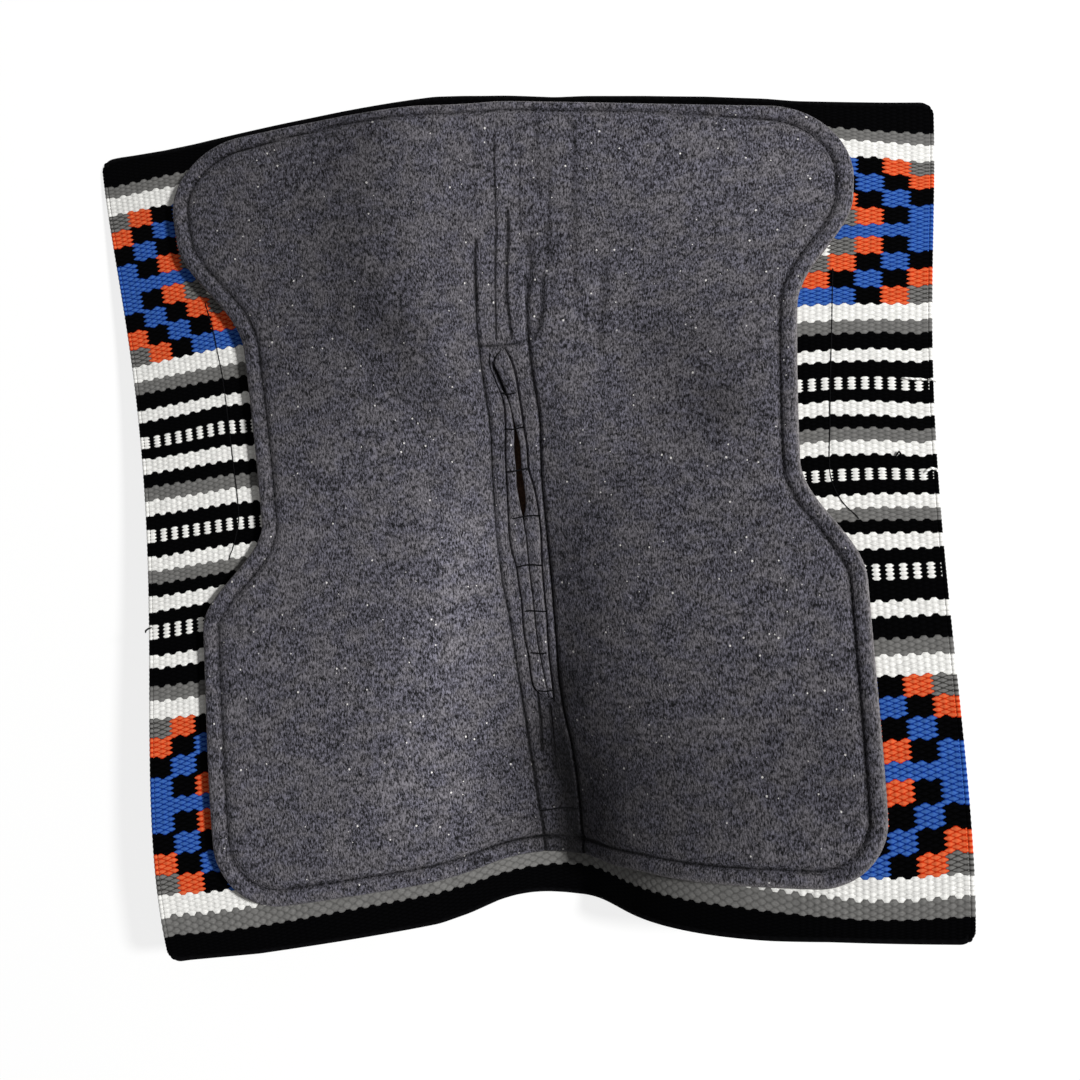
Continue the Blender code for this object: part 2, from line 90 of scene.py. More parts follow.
# In mm: how far the spine sways to the right, the sides lie out and back, and their middles bulge back
SPINE_SWAY = (2.0, -11.1, -12.8, -5.2, -2.8)
SWEEP_OUT = {"left": (20.9, -11.7, -22.7, -5.0, -7.5), "right": (26.2, 13.5, -0.4, -5.0, -4.2)}
SWEEP_BACK = {"left": (15.5, 3.8, 5.9, 15.1, 23.3), "right": (50.6, 31.5, 13.6, 19.2, 18.5)}
BELLY_BACK = {"left": (-3.0, -0.4, 0.5), "right": (3.1, -0.2, 4.5)}
SWEEP_ROUND = 14 * MM
# How far the spine strip shifts to the right at the front, and its changes with where each starts and ends
STRIP_SHIFT_FRONT = -7 * MM
STRIP_SHIFT_CHANGES = (11 * MM, -5 * MM, 8 * MM)
STRIP_SHIFT_STARTS = (245 * MM, 430 * MM, 620 * MM)
STRIP_SHIFT_ENDS = (345 * MM, 600 * MM, 720 * MM)
STRIP_SHIFT_REACH = 70 * MM
LINE_ROUND = 4 * MM
SLOPE_STEPS = 40
SAMPLE_STEP = 0.4 * MM
CHUNK = 20000

# Layers, from the underside of the lining down
CORE_THICKNESS = 5.0 * MM
LAYER_GAP = 0.5 * MM
BLANKET_GAP = 0.9 * MM

# Outline of the lining: margins at the blanket's ends, corners, half widths, and where the waist begins
# and ends along the pad
FELT_FRONT_MARGIN = 7 * MM
FELT_REAR_MARGIN = 41 * MM
FELT_REAR_SLANT = 3.5 * MM
FELT_BOW_SHARE = 0.75
FRONT_BOW_SHARE = 1.15
FRONT_CORNER_RADIUS = 80 * MM
REAR_CORNER_RADIUS = 65 * MM
WAIST_HALF = {"left": 276 * MM, "right": 283 * MM}
REAR_LOBE_HALF = {"left": 345 * MM, "right": 337 * MM}
WAIST_FRONT_EASE = {"left": (112 * MM, 236 * MM), "right": (104 * MM, 228 * MM)}
WAIST_REAR_EASE = {"left": (407 * MM, 502 * MM), "right": (388 * MM, 503 * MM)}
CORE_OUTSET = {"left": 1.0 * MM, "right": -1.0 * MM}
WALL_INSET = 1.0 * MM
FELT_SHARP_DEGREES = 50

# Profile of the felt border: distance in from the outline, and height as a share of the felt's thickness
BORDER_INSETS_MM = (0, 0.4, 1.0, 2.2, 4.5, 7.5, 10.5, 13, 14.3, 15.2, 16.2, 18, 21, 26, 33)
BORDER_INSETS = tuple(inset * MM for inset in BORDER_INSETS_MM)
BORDER_SHARES = (0.5, 0.7, 0.84, 0.95, 1.04, 1.08, 1.04, 0.88, 0.70, 0.62, 0.68, 0.83, 0.96, 1.01, 1.0)
CREASE_INSET = 15.2 * MM
# The profile is stretched or drawn in, so that its crease runs at these distances from the outline
SIDE_CREASE_INSET = 16.5 * MM
FRONT_CREASE_INSET = 9.0 * MM
REAR_CREASE_INSET = 16.5 * MM
CREASE_TURN = (150 * MM, 300 * MM)
CREASE_RUN = 90 * MM
CREASE_WIDTH = 1.5 * MM

# Where the lining's ends bow with the blanket or slant: spans across, and how far in from the ends
REAR_BOW_SPAN = (120 * MM, 60 * MM)
FRONT_BOW_SPAN = (-40 * MM, -120 * MM)
REAR_SLANT_SPAN = (100 * MM, 300 * MM)
BOW_RUN = 120 * MM

# Pale fluffed fibre along the lining's cut edge, widened on the right behind the front lobe by a painted
# highlight where the lamp lights the edge
FLUFF_WIDTH = 1.3 * MM
PAINTED_EDGE_HIGHLIGHT = 1.7 * MM
EDGE_HIGHLIGHT_ACROSS = (0, 220 * MM)
EDGE_HIGHLIGHT_ALONG = (120 * MM, 270 * MM)

# Slow ripple of the lining's top
RIPPLE = 0.3 * MM
RIPPLE_ACROSS = 29 * MM
RIPPLE_ALONG = 47 * MM
RIPPLE_BEND = 1.3
RIPPLE_MARGIN = 40 * MM

# Painted shade on the felt, how dark it is painted: at the border's crease, at the seams, by each mm of a
# crease down to a depth in mm, and at most
BORDER_DARK = 0.8
SEAM_DARK = 1.1
CREASE_DARK = 0.6
CREASE_DARK_DEPTH = 1.7
DARKEST = 1.04

# Rows and columns of the felt meshes in mm from the ends, the cut edges and the seams, close together there
END_ROWS = (0, 0.12, 0.4, 0.9, 1.6, 2.5, 3.7, 5.2, 7, 9, 11, 13, 14.3, 15.2, 16.2, 17.6, 19.4, 21.5)
EDGE_COLUMNS = (0, 0.4, 1.0, 2.2, 4.0, 6.0, 8.4, 10.8, 12.8, 14.2, 15.2, 16.2, 17.6, 19.6, 22.5)
SEAM_COLUMNS = (0, 0.8, 1.8, 3.2, 5, 7.2, 9.6, 12)
END_ROWS_REACH = 24 * MM
EDGE_COLUMNS_REACH = 36 * MM
LINING_ROW = 3.0 * MM
LINING_COLUMN = 2.6 * MM
STRIP_ROW = 2.4 * MM
STRIP_COLUMNS = 57
CORE_ROW = 9 * MM
CORE_COLUMNS = 90
CORE_COLUMN_POWER = 1.5
OUTLINE_STEP = 0.4 * MM
CORNER_STEPS = 200

# Seams beside the spine strip, which fade in behind the front end: their lines are points (u, v) in mm
SEAM_DIP = 2.8 * MM
SEAM_WIDTH = 2.8 * MM
# SEAM_DARK_WIDTH is the width of the painted shade along the seams
SEAM_DARK_WIDTH = 1.3 * MM
SEAM_FADE = (150 * MM, 205 * MM)
SEAM_PLAY = 0.02 * MM
SEAM_OPENING = 0.18 * MM
SEAM_LINES = {
    "left": (
        (-24.5, 0), (-23.5, 202), (-24.7, 233), (-23.4, 253), (-24.9, 276), (-27.2, 305), (-29.6, 346),
        (-31.8, 376), (-33.1, 407), (-34.5, 437), (-34.1, 463), (-33.3, 489), (-30.8, 509), (-28.2, 530),
        (-26.9, 551), (-24.8, 592), (-22.9, 634), (-25.2, 665), (-26.5, 696), (-26.0, 722), (-23.9, 743),
    ),
    "right": (
        (30.5, 0), (30.6, 193), (29.6, 225), (30.2, 251), (29.9, 277), (28.8, 303), (28.1, 329),
        (25.8, 360), (23.8, 390), (23.8, 452), (24.4, 493), (24.4, 554), (22.8, 595), (24.5, 626),
        (27.4, 656), (23.9, 708),
    ),
}

# Slit in mm: place along the pad, then its left and its right edge, and it is closed where they meet
SLIT_EDGES = (
    (0, 0, 0), (255, -8.5, -8.5), (272, -8.5, -8.5), (281, -4.8, -4.8), (300, -1.8, -1.8),
    (320, -1.5, -1.4), (338, -2.3, 0.2), (355, -4.6, 3.0), (379, -4.8, 1.6), (396, -6.0, 3.0),
    (409, -5.0, 3.4), (421, -3.8, 0.8), (428, -2.6, -2.6), (456, -1.2, -1.2), (482, -1.6, -1.6),
    (513, 0.2, 0.2), (554, 0.8, 0.8), (585, 3.0, 3.0), (606, 6.2, 6.2), (640, 6.0, 6.0), (700, 0, 0),
)
# Lips in mm: place along the pad, then the inner and the outer edge of each
LIPS = {
    "left": (
        (255, -9.0, -11.0), (262, -10.6, -13.0), (271, -12.6, -14.7), (277, -10.6, -12.6), (283, -9.4, -11.4),
        (290, -8.4, -10.4), (298, -5.8, -8.6), (303, -2.8, -7.2), (311, -1.9, -7.6), (337, -2.3, -11.8),
        (353, -4.6, -14.0), (367, -4.8, -15.4), (383, -5.0, -16.0), (399, -6.1, -17.3), (408, -5.1, -17.9),
        (420, -3.9, -18.6), (428, -3.0, -19.5), (449, -1.7, -20.7), (464, -1.9, -19.0), (476, -2.0, -15.6),
        (501, -1.0, -14.4), (511, -0.4, -13.0), (542, 0.2, -13.6), (558, 0.8, -12.3), (566, 1.5, -10.6),
        (594, 5.0, -10.4), (605, 6.0, -8.4), (613, 6.6, 2.0),
    ),
    "right": (
        (254, 3.6, 4.4), (257, -1.0, 6.8), (260, -3.0, 8.0), (264, -8.0, 9.5), (271, -9.2, 10.6),
        (277, -5.9, 11.2), (283, -4.6, 11.6), (290, -3.8, 11.0), (300, -1.6, 10.0), (320, -1.4, 8.5),
        (338, 0.2, 7.9), (353, 3.0, 9.5), (379, 2.0, 8.5), (394, 3.0, 12.5), (410, 3.2, 15.0),
        (422, 0.8, 15.6), (428, -1.8, 15.6), (441, -1.4, 16.0), (477, -1.0, 13.3), (513, 0.4, 13.5),
        (533, 0.9, 14.2), (554, 1.2, 13.0), (569, 2.9, 12.4), (595, 5.5, 12.6), (614, 7.5, 12.0),
    ),
}
LIP_THICKNESS = 4.4 * MM
LIP_BED_SHARE = 0.62
LIP_PINCH = 0.9 * MM
LIP_PINCH_WIDTH = 3.5 * MM
LIP_ROW = 1.5 * MM
LIP_COLUMNS = 17
LIP_TAPER = 7 * MM
LIP_TIP_SHARE = 0.02
LIP_RISE_SHARE = 0.9
LIP_ROUND_POWER = 0.4
LIP_FLUFF = 0.25
BED_RUN = 5 * MM
BED_PLAY = 0.5 * MM
BED_WALL = 3 * MM

# Threads over the slit in mm: place along the pad of each, then its left and its right end
BARS = (
    (300, -7.8, 8.3), (336, -12.9, 10.5), (379, -16.8, 11.7), (427, -17.0, 19.2),
    (477, -15.8, 14.7), (524, -11.9, 16.4), (567, -9.4, 11.6), (606, -5.0, 16.0),
)
END_BAR = (728, -25, 25)
BAR_RADIUS_SHARE = 1.5
BAR_RISE = 0.6 * MM
BAR_DROP = 2.6 * MM
BAR_SAG = 0.8 * MM
BAR_SAG_TURN = 2.2
END_BAR_RISE = 0.3 * MM
BAR_STEPS = 25
END_BAR_STEPS = 33

# Machine stitches: how high they stand out of the felt and the blanket, and how much of each is sunk
STITCH_RISE_SHARE = 1.2
STITCH_SINK = 0.8
WAIST_STITCH_RISE = 0.35 * MM
WAIST_STITCH_SINK = 0.6
BORDER_STEP = 1.0 * MM
RING_STEP = 2.5 * MM
WAIST_STEPS = 260
# Waist stitch on the blanket, as points (u, v) in mm
WAIST_LINES = {
    "left": (
        (-316.7, 177), (-314.3, 191), (-312.0, 206), (-310.9, 222), (-310.1, 233), (-308.6, 247),
        (-307.7, 275), (-306.8, 326), (-306.1, 351), (-305.0, 373), (-304.7, 396), (-306.8, 408),
        (-312.4, 424), (-315.6, 431), (-320.0, 438),
    ),
    "right": (
        (317.0, 182), (316.8, 240), (315.9, 273), (313.9, 328), (313.0, 355), (311.1, 382), (311.0, 402),
        (313.5, 413), (317.2, 422), (320.4, 428), (325.5, 435), (332.4, 441), (335.8, 445),
    ),
}

# Cords along the blanket's edges, and the knots at its corners
CORD_RISE = 0.6 * MM
CORD_SINK = 0.9 * MM
SELVEDGE_SWELL = 0.07
SELVEDGE_RIB = 0.3
EDGE_GAP = 0.4 * MM
KNOT_RADIUS = 3.0 * MM
KNOT_LOOP = 1.7 * MM
KNOT_TWIST = 0.5 * MM
KNOT_CORD = 1.9 * MM
KNOT_RISE = 3.2 * MM
KNOT_STEPS = 40
KNOT_SIDES = 10
CORD_SIDES = 12
HEADER_STEPS = 400
CORNER_ROUND = 9 * MM

# Creases pressed into the lining: depth and width in mm, and points (u, v) in mm
CREASES = (
    (1.5, 1.4, ((3, 45), (2.5, 69), (2.7, 104), (3, 128), (0.7, 163), (-1.3, 204), (-2.9, 244))),
    (0.9, 1.3, ((18.7, 44), (19.3, 76))),
    (1.0, 1.3, ((26.8, 54), (25.4, 104), (26.7, 136))),
    (0.8, 1.8, ((41.8, 32), (41.8, 69), (43.4, 104))),
    (0.8, 1.8, ((53.2, 50), (52.3, 120), (50, 175))),
    (0.8, 2.4, ((74, 30), (75, 120), (76, 215))),
    (2.2, 2.1, ((13.9, 116), (14.2, 144), (11.6, 166), (10.1, 204), (12.1, 225), (13.2, 243))),
    (1.6, 1.7, ((-19.9, 142), (-22.4, 164), (-23.8, 202))),
    (2.4, 2.4, ((46.2, 184), (45.6, 212), (42.1, 232), (35.9, 245))),
    (1.2, 3.6, ((34.9, 144), (36.1, 175), (32.8, 195))),
    (1.0, 4.0, ((104.2, 172), (102.4, 201), (99.4, 232), (97.9, 263))),
    (1.6, 2.0, ((-23, 249), (4, 250.5), (30, 248))),
    (1.4, 1.5, ((-10.6, 568), (-10.4, 594), (-8.4, 605))),
    (1.5, 1.5, ((-5.4, 608), (-6, 621), (-6.4, 636), (-12.7, 667))),
    (1.3, 1.5, ((7.6, 621), (7.1, 636), (2.5, 662), (-3.5, 689))),
)
# Broad parts of the lining painted darker as shade, and paler as painted light where the strength is below 0:
# strength, width in mm and points
PAINTED_SHADE_AND_LIGHT = (
    (0.60, 31, ((20, 600), (8, 660), (4, 790))),
    (0.48, 75, ((30, 690), (24, 800))),
    (0.20, 22, ((44, 470), (44, 600))),
    (0.40, 50, ((-140, 30), (-145, 200))),
    (0.36, 30, ((-112, 235), (-88, 310))),
    (0.27, 90, ((-250, 60), (-220, 260))),
    (0.16, 28, ((-36, 650), (-55, 740))),
    (0.28, 42, ((170, 262), (200, 330))),
    (0.25, 24, ((208, 322), (212, 330))),
    (0.28, 80, ((170, 700), (270, 660))),
    (-0.48, 40, ((-66, 440), (-88, 530))),
    (-0.40, 50, ((-112, 590), (-135, 680))),
    (-0.33, 45, ((80, 209), (84, 344))),
    (-0.16, 70, ((140, 60), (260, 90))),
    (-0.25, 22, ((15, 60), (12, 230))),
    (1.10, 3.4, ((-10.4, 270), (-7.8, 278), (-6.0, 288), (-3.4, 299))),
)

# Weaver's draft from either end to the middle: yarn, width in mm and picks
DRAFT = (
    ("black", 30.0, 14), ("grey", 12.5, 6), ("white", 19.0, 9), ("blocks", 165.0, 70), ("white", 17.5, 8),
    ("grey", 14.0, 6), ("black", 18.0, 8), ("white", 15.5, 7), ("black", 14.0, 7), ("dashes", 14.5, 8),
    ("black", 14.0, 7), ("white", 14.5, 7), ("black", 12.0, 6), ("grey", 12.0, 6), ("white", 13.5, 6),
    ("black", 12.5, 6), ("dashes", 6.0, 4),
)
# Widths in mm of the first bands at the rear end, where the loom packed them otherwise
REAR_WIDTHS = (22.5, 19.5, 19.5)
# How far the weave's rows wander towards the rear, in mm: the places across, then each place along
# with its distances at those places
WANDER_ACROSS = (-395, -355, -315, -200, 200, 315, 355, 395)
WANDER = (
    (0, (0, 0, 0, 0, 0, 0, 0, 0)), (20, (0, 0, 0, 0, 0, -6.5, -1.5, 0)),
    (60, (2, 2, 5.5, 0, 0, -6, -5, 1)), (100, (2.5, 0.5, 3, 0, 0, -3, -4.5, -6.5)),
    (140, (6, 1, 1, 0, 0, -2, -4, -4.5)), (180, (7.5, 3, 1, 0, 0, -3, -3, -3.5)),
    (220, (7.5, 4, 1, 0, 0, -3.5, -2, -0.5)), (260, (5, 3, 1, 0, 0, -1.5, -1.5, 2)),
    (300, (2.5, -0.5, -5, 0, 0, -3, -2, 2)), (340, (-4.5, -6, -8, 0, 0, -6.5, -4, 1)),
    (380, (0.5, 0, -2, 0, 0, -3, -1.5, 3)), (420, (3, 0.5, -1, 0, 0, -2.5, -2.5, 0)),
    (460, (4, 2, -0.5, 0, 0, -4, -3, -1.5)), (500, (3, 0.5, -1, 0, 0, -3.5, -2, -2.5)),
    (540, (-0.5, -1.5, -1.5, 0, 0, -1, 0, -1)), (580, (-1.5, -1, -1, 0, 0, 0, 1, -0.5)),
    (620, (-3, -3, -1, 0, 0, 0, -2, -3)), (660, (-2.5, -1.5, 0, 0, 0, 0, -3, -3)),
    (700, (-1.5, 0.5, 3, 0, 0, 3.5, 0.5, -1.5)), (740, (0, 3, 5, -1.5, -1.5, 7.5, 6, 1.5)),
    (780, (0, 2.5, 2, -1.5, -1.5, 7, 5.5, 1)), (810, (0, 0, 0, 0, 0, 0, 0, 0)),
)
# How far both ends bow towards the rear, as (place across, distance) in mm, and from where to where along
# the pad each bow grows
FRONT_BOW = (
    (-390, 0), (-372, 2), (-339, 4.6), (-306, 5.4), (-242, 4.5), (-180, 3.4), (-119, 0.8), (-57, -2.1),
    (-26, -0.9), (3, 1.4), (57, 1.8), (84, -0.6), (139, -2.9), (196, -4.1), (252, -3.2), (280, -1.1),
    (365, 0),
)
REAR_BOW = (
    (-390, 0), (-364, 1.7), (-319, 4.9), (-258, 6.1), (-196, 7.2), (-133, 8.8), (-101, 5.4), (-70, -0.4),
    (-54, -1), (-39, 0.2), (-24, 2.8), (-10, 6.2), (4, 9), (18, 8.6), (61, 6.3), (144, 4.3), (232, 2.9),
    (286, 0.6), (390, 0),
)
FRONT_BOW_REACH = (28 * MM, 0)
REAR_BOW_REACH = (766 * MM, 810 * MM)
HALF_PICKS = sum(picks for _, _, picks in DRAFT)
RAMP_STEPS = 255

# Ribs across the blanket, those at each side that get twice the points, and the ribs and picks of one step of
# the blocks' stairs and of the bar between them
RIBS = 132
EDGE_RIBS = 24
EDGE_RIB_STEP = 0.25
RIB_STEP = 0.5
BLOCK_RIBS = 4
BLOCK_PICKS = 8
BAR_PICKS = 6
WEAVE_RELIEF = 0.7 * MM
RIB_SHARE = 0.55
EDGE_RELIEF_FALL = 1.5

# Yarn that has worked loose: colour, radius in mm, and points (u, v, height over the weave) in mm
LOOSE_YARN = (
    ("white", 1.1, (
        (380, 307, 0.4), (386, 308.5, 1.2), (392, 309.4, 1.0), (398, 310.2, 1.3), (403, 310.6, 0.3))),
    ("white", 1.3, ((404, 311.5, 0.2), (406.5, 310.5, 1.2), (409, 311.2, 1.2), (411.5, 313, -1.0))),
    ("white", 1.2, (
        (396, 405, 0.2), (399.5, 402.6, 1.3), (403, 401, 1.5), (407, 402.2, 1.2), (409, 404.5, -0.4))),
    ("black", 0.8, (
        (371, 388, 0.0), (373, 385, 1.6), (374.5, 383, 2.2), (376, 385.5, 1.6), (376.5, 388, 0.2))),
    ("black", 0.9, ((-405, 495, 0.2), (-409, 496, 1.4), (-412, 497.5, 0.6), (-413, 499.5, -1.0))),
)
YARN_STEPS = 24
YARN_TAPER = 0.6
# Length in which a ply turns once round its cord, yarn or thread
PLY_PITCH = {"cord": 9 * MM, "yarn": 5 * MM, "thread": 1.6 * MM}

# Studio in metres, watts and degrees: the floor and world, the lamp, and the camera as the photo has it
FLOOR_HALF = 4.0
FLOOR_GLOW = 1.07
FLOOR_GLOW_SHARE = 0.76
WORLD_LIGHT = 0.18
LAMP_SIZE = 0.84
LAMP_POWER = 484
LAMP_PLACE = (4.60, 0.80, 4.90)
CAMERA_PLACE = (0.0615, -0.01865, 1.01605)
CAMERA_TURN = (-1.274, 3.494, -5.032)
CAMERA_FILM = 36
CAMERA_REACH_PX = 976.1
PHOTO_PX = 1080


class PadSizes(bpy.types.PropertyGroup):
    """Sizes of the pad that a maker would change."""

    blanket: bpy.props.FloatProperty(
        name="Blanket side", description="Side of the square blanket", default=810 * MM, unit="LENGTH")
    blanket_thickness: bpy.props.FloatProperty(
        name="Blanket thickness", description="Thickness of the weave", default=5 * MM, unit="LENGTH")
    felt_thickness: bpy.props.FloatProperty(
        name="Felt thickness", description="Thickness of the lining", default=8.5 * MM, unit="LENGTH")
    front_half: bpy.props.FloatProperty(
        name="Front lobe", description="Half width of the lining in front", default=332 * MM, unit="LENGTH")
    thread: bpy.props.FloatProperty(
        name="Thread radius", description="Radius of the waxed thread", default=0.5 * MM, unit="LENGTH")
    stitch: bpy.props.FloatProperty(
        name="Stitch length", description="Length of one machine stitch", default=7 * MM, unit="LENGTH")
    cord: bpy.props.FloatProperty(
        name="Cord radius", description="Radius of the cord along the edges", default=2.6 * MM, unit="LENGTH")


def colour_property(name, description, colour):
    return bpy.props.StringProperty(name=name, description=description, default=colour)


class PadColours(bpy.types.PropertyGroup):
    """Colours of the pad, as sRGB hex values."""

    black: colour_property("Black wool", "Yarn of the end bands", "#040405")
    grey: colour_property("Grey wool", "Heather yarn of the narrow bands", "#797876")
    white: colour_property("White wool", "Undyed yarn", "#f8f7f3")
    orange: colour_property("Orange wool", "Yarn of the stepped blocks", "#e66a3f")
    blue: colour_property("Blue wool", "Yarn of the stepped blocks", "#3f6ab5")
    felt_dark: colour_property("Dark fibre", "Darker fibre of the felt lining", "#161618")
    felt_light: colour_property("Light fibre", "Paler fibre of the felt lining", "#7a7884")
    felt_warm: colour_property("Warm fibre", "Paler fibre in patches with less violet", "#79767c")
    core_dark: colour_property("Dark core fibre", "Darker fibre of the core felt", "#3c2c23")
    core: colour_property("Core felt", "Brown felt between the layers", "#5a4336")
    thread: colour_property("Thread", "Waxed stitching thread", "#08080a")
    # The cut edge's colour is fluffed fibre, and on the right also a painted highlight
    rim: colour_property("Cut edge", "Fluffed fibre of the lining's cut edge", "#8f8b8c")
    lint: colour_property("Lint", "Specks of pale fibre on the lining", "#dedbd8")
    floor: colour_property("Floor", "Studio floor", "#f7f7f6")


def linear(colour):
    """A hex sRGB colour as linear red, green, blue and alpha."""
    values = [int(colour[index:index + 2], 16) / 255 for index in (1, 3, 5)]
    return tuple(x / 12.92 if x <= 0.04045 else ((x + 0.055) / 1.055) ** 2.4 for x in values) + (1.0,)


def add_node(tree, kind, inputs=None, output=0, **settings):
    """Add a node, set its settings, set or link its inputs, and return one of its outputs."""
    node = tree.nodes.new(kind)
    for name, value in settings.items():
        setattr(node, name, value)
    for name, value in (inputs or {}).items():
        if isinstance(value, bpy.types.NodeSocket):
            tree.links.new(value, node.inputs[name])
        else:
            node.inputs[name].default_value = value
    return node.outputs[output] if len(node.outputs) else None


def start_material(name):
    material = bpy.data.materials.new(name)
    material.use_nodes = True
    material.node_tree.nodes.clear()
    return material, material.node_tree


def set_stops(ramp_socket, stops):
    """Fill a colour ramp with hard steps from (position, colour) pairs."""
    ramp = ramp_socket.node.color_ramp
    ramp.interpolation = "CONSTANT"
    while len(ramp.elements) > 1:
        ramp.elements.remove(ramp.elements[-1])
    ramp.elements[0].position, ramp.elements[0].color = stops[0]
    for position, colour in stops[1:]:
        ramp.elements.new(position).color = colour


def ease(value, start, end):
    """How far a value has gone from the start to the end, from 0 to 1, eased at both."""
    share = np.clip((value - start) / (end - start), 0.0, 1.0)
    return (1 - np.cos(np.pi * share)) / 2


def bell(distance, width):
    """A bell curve: 1 at no distance and about a third at its width."""
    return np.exp(-((distance / width) ** 2))


def sizes():
    return bpy.context.scene.pad_sizes


def colours():
    return bpy.context.scene.pad_colours


def through_stations(values, share):
    """Smooth curve through values at even stations from the front end to the rear end."""
    places = np.linspace(0.0, 1.0, len(values))
    total = 0.0
    for index, value in enumerate(values):
        weight = 1.0
        for other in np.delete(places, index):
            weight = weight * (share - other) / (places[index] - other)
        total = total + value * weight
    return total


def both_sides(table, share, on_right):
    return np.where(on_right, through_stations(table["right"], share), through_stations(table["left"], share))


def follow(places, values, v):
    """A measured line at v, with both tables in mm, rounded over 8 mm where its points meet."""
    places, values = np.array(places) * MM, np.array(values) * MM
    return sum(np.interp(v + shift, places, values) for shift in (-LINE_ROUND, 0, LINE_ROUND)) / 3


def follow_seam(side, v):
    u, places = zip(*SEAM_LINES[side])
    return follow(places, u, v)


def strip_shift(v):
    """How far the middle line of the spine strip lies to the right of the spine line."""
    shift = STRIP_SHIFT_FRONT
    for change, start, end in zip(STRIP_SHIFT_CHANGES, STRIP_SHIFT_STARTS, STRIP_SHIFT_ENDS):
        shift = shift + change * ease(v, start, end)
    return shift


def middle_surface(u, v):
    """Points of the set pad at w = 0: walls rise from the spine and flatten out in the flaps."""
    length = sizes().blanket
    share = v / length
    reach = np.abs(u)
    on_right = u >= 0
    along = reach[..., None] * ((np.arange(SLOPE_STEPS) + 0.5) / SLOPE_STEPS)
    wall = np.radians(both_sides(WALL_DEGREES, share, on_right))[..., None]
    flap = np.radians(both_sides(FLAP_DEGREES, share, on_right))[..., None]
    slope = (flap + (wall - flap) * bell(along, WALL_REACH)) * np.tanh(along / SPINE_ROUND)
    flap_share = reach / (length / 2)
    across = np.cos(slope).mean(-1) * reach + both_sides(SWEEP_OUT, share, on_right) * MM * flap_share
    rise = np.sin(slope).mean(-1) * reach
    turned = np.hypot(reach, SWEEP_ROUND) - SWEEP_ROUND
    turned = turned / (math.hypot(length / 2, SWEEP_ROUND) - SWEEP_ROUND)
    back = both_sides(SWEEP_BACK, share, on_right) * MM * turned
    back = back + both_sides(BELLY_BACK, share, on_right) * MM * 4 * flap_share * (1 - flap_share)
    sway = through_stations(SPINE_SWAY, share) * MM
    sway = sway + strip_shift(v) * bell(reach, STRIP_SHIFT_REACH)
    lift = FRONT_LIFT * np.clip(1 - share / FRONT_LIFT_SPAN_SHARE, 0, None) ** 2
    return np.stack([np.sign(u) * across + sway, length / 2 - v - back, lift + rise], -1)


def set_shape(flat):
    """Lay pattern points (u, v, w) into the set shape, without the shift to the frame's origin."""
    flat = np.asarray(flat, dtype=float)
    points = flat.reshape(-1, 3)
    placed = []
    for start in range(0, len(points), CHUNK):
        u, v, w = points[start:start + CHUNK].T
        across = middle_surface(u + SAMPLE_STEP, v) - middle_surface(u - SAMPLE_STEP, v)
        ahead = middle_surface(u, v - SAMPLE_STEP) - middle_surface(u, v + SAMPLE_STEP)
        normal = np.cross(across, ahead)
        normal /= np.linalg.norm(normal, axis=-1, keepdims=True)
        placed.append(middle_surface(u, v) + normal * w[:, None])
    return np.concatenate(placed).reshape(flat.shape)


def frame_shift():
    """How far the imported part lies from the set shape, read from its four corner knots."""
    size = sizes()
    blanket_bottom = layer_heights()[2]
    out = (KNOT_RADIUS + EDGE_GAP) / math.sqrt(2)
    shifts = []
    for (end, _), v in zip(ENDS, (-out, size.blanket + out)):
        for side_name, side in SIDES:
            low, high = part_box(f"corner_knot_{end}_{side_name}")
            flat = (side * (size.blanket / 2 + out), v, blanket_bottom + KNOT_RADIUS + CORD_RISE)
            shifts.append((np.array(low) + np.array(high)) / 2 - set_shape(flat))
    return np.mean(shifts, axis=0)


def layer_heights():
    """Underside of the core, and top and underside of the blanket."""
    core_bottom = -LAYER_GAP - CORE_THICKNESS
    top = core_bottom - BLANKET_GAP
    return core_bottom, top, top - sizes().blanket_thickness


def place(flat):
    return set_shape(flat) + frame_shift()


def felt_half_width(side, v):
    """Half width of the lining's outline on one side at v, with its rounded corners."""
    size = sizes()
    half = size.front_half + (WAIST_HALF[side] - size.front_half) * ease(v, *WAIST_FRONT_EASE[side])
    half = half + (REAR_LOBE_HALF[side] - WAIST_HALF[side]) * ease(v, *WAIST_REAR_EASE[side])
    for radius, depth in (
        (FRONT_CORNER_RADIUS, v - FELT_FRONT_MARGIN),
        (REAR_CORNER_RADIUS, size.blanket - FELT_REAR_MARGIN - v),
    ):
        rest = np.clip(1 - depth / radius, 0, 1)
        half = half - radius * (1 - np.sqrt(1 - rest**2))
    return half


def outline_rows(step):
    """Rows of a felt piece from front to rear, close together at both ends where its corners turn."""
    front, rear = FELT_FRONT_MARGIN, sizes().blanket - FELT_REAR_MARGIN
    near = np.array(END_ROWS) * MM
    count = int((rear - front - 2 * END_ROWS_REACH) / step) + 1
    middle = np.linspace(front + END_ROWS_REACH, rear - END_ROWS_REACH, count)
    return np.concatenate([front + near, middle, (rear - near)[::-1]])


def outline_points(step):
    """Points along both sides of the lining's outline, close together at its corners."""
    front, rear = FELT_FRONT_MARGIN, sizes().blanket - FELT_REAR_MARGIN
    turn = np.linspace(0, np.pi / 2, CORNER_STEPS)
    rows = np.unique(np.concatenate([
        front + FRONT_CORNER_RADIUS * (1 - np.cos(turn)),
        np.arange(front + FRONT_CORNER_RADIUS, rear - REAR_CORNER_RADIUS, step),
        rear - REAR_CORNER_RADIUS * (1 - np.cos(turn)),
    ]))
    right = np.stack([felt_half_width("right", rows), rows], -1)
    left = np.stack([-felt_half_width("left", rows), rows], -1)
    return right, left


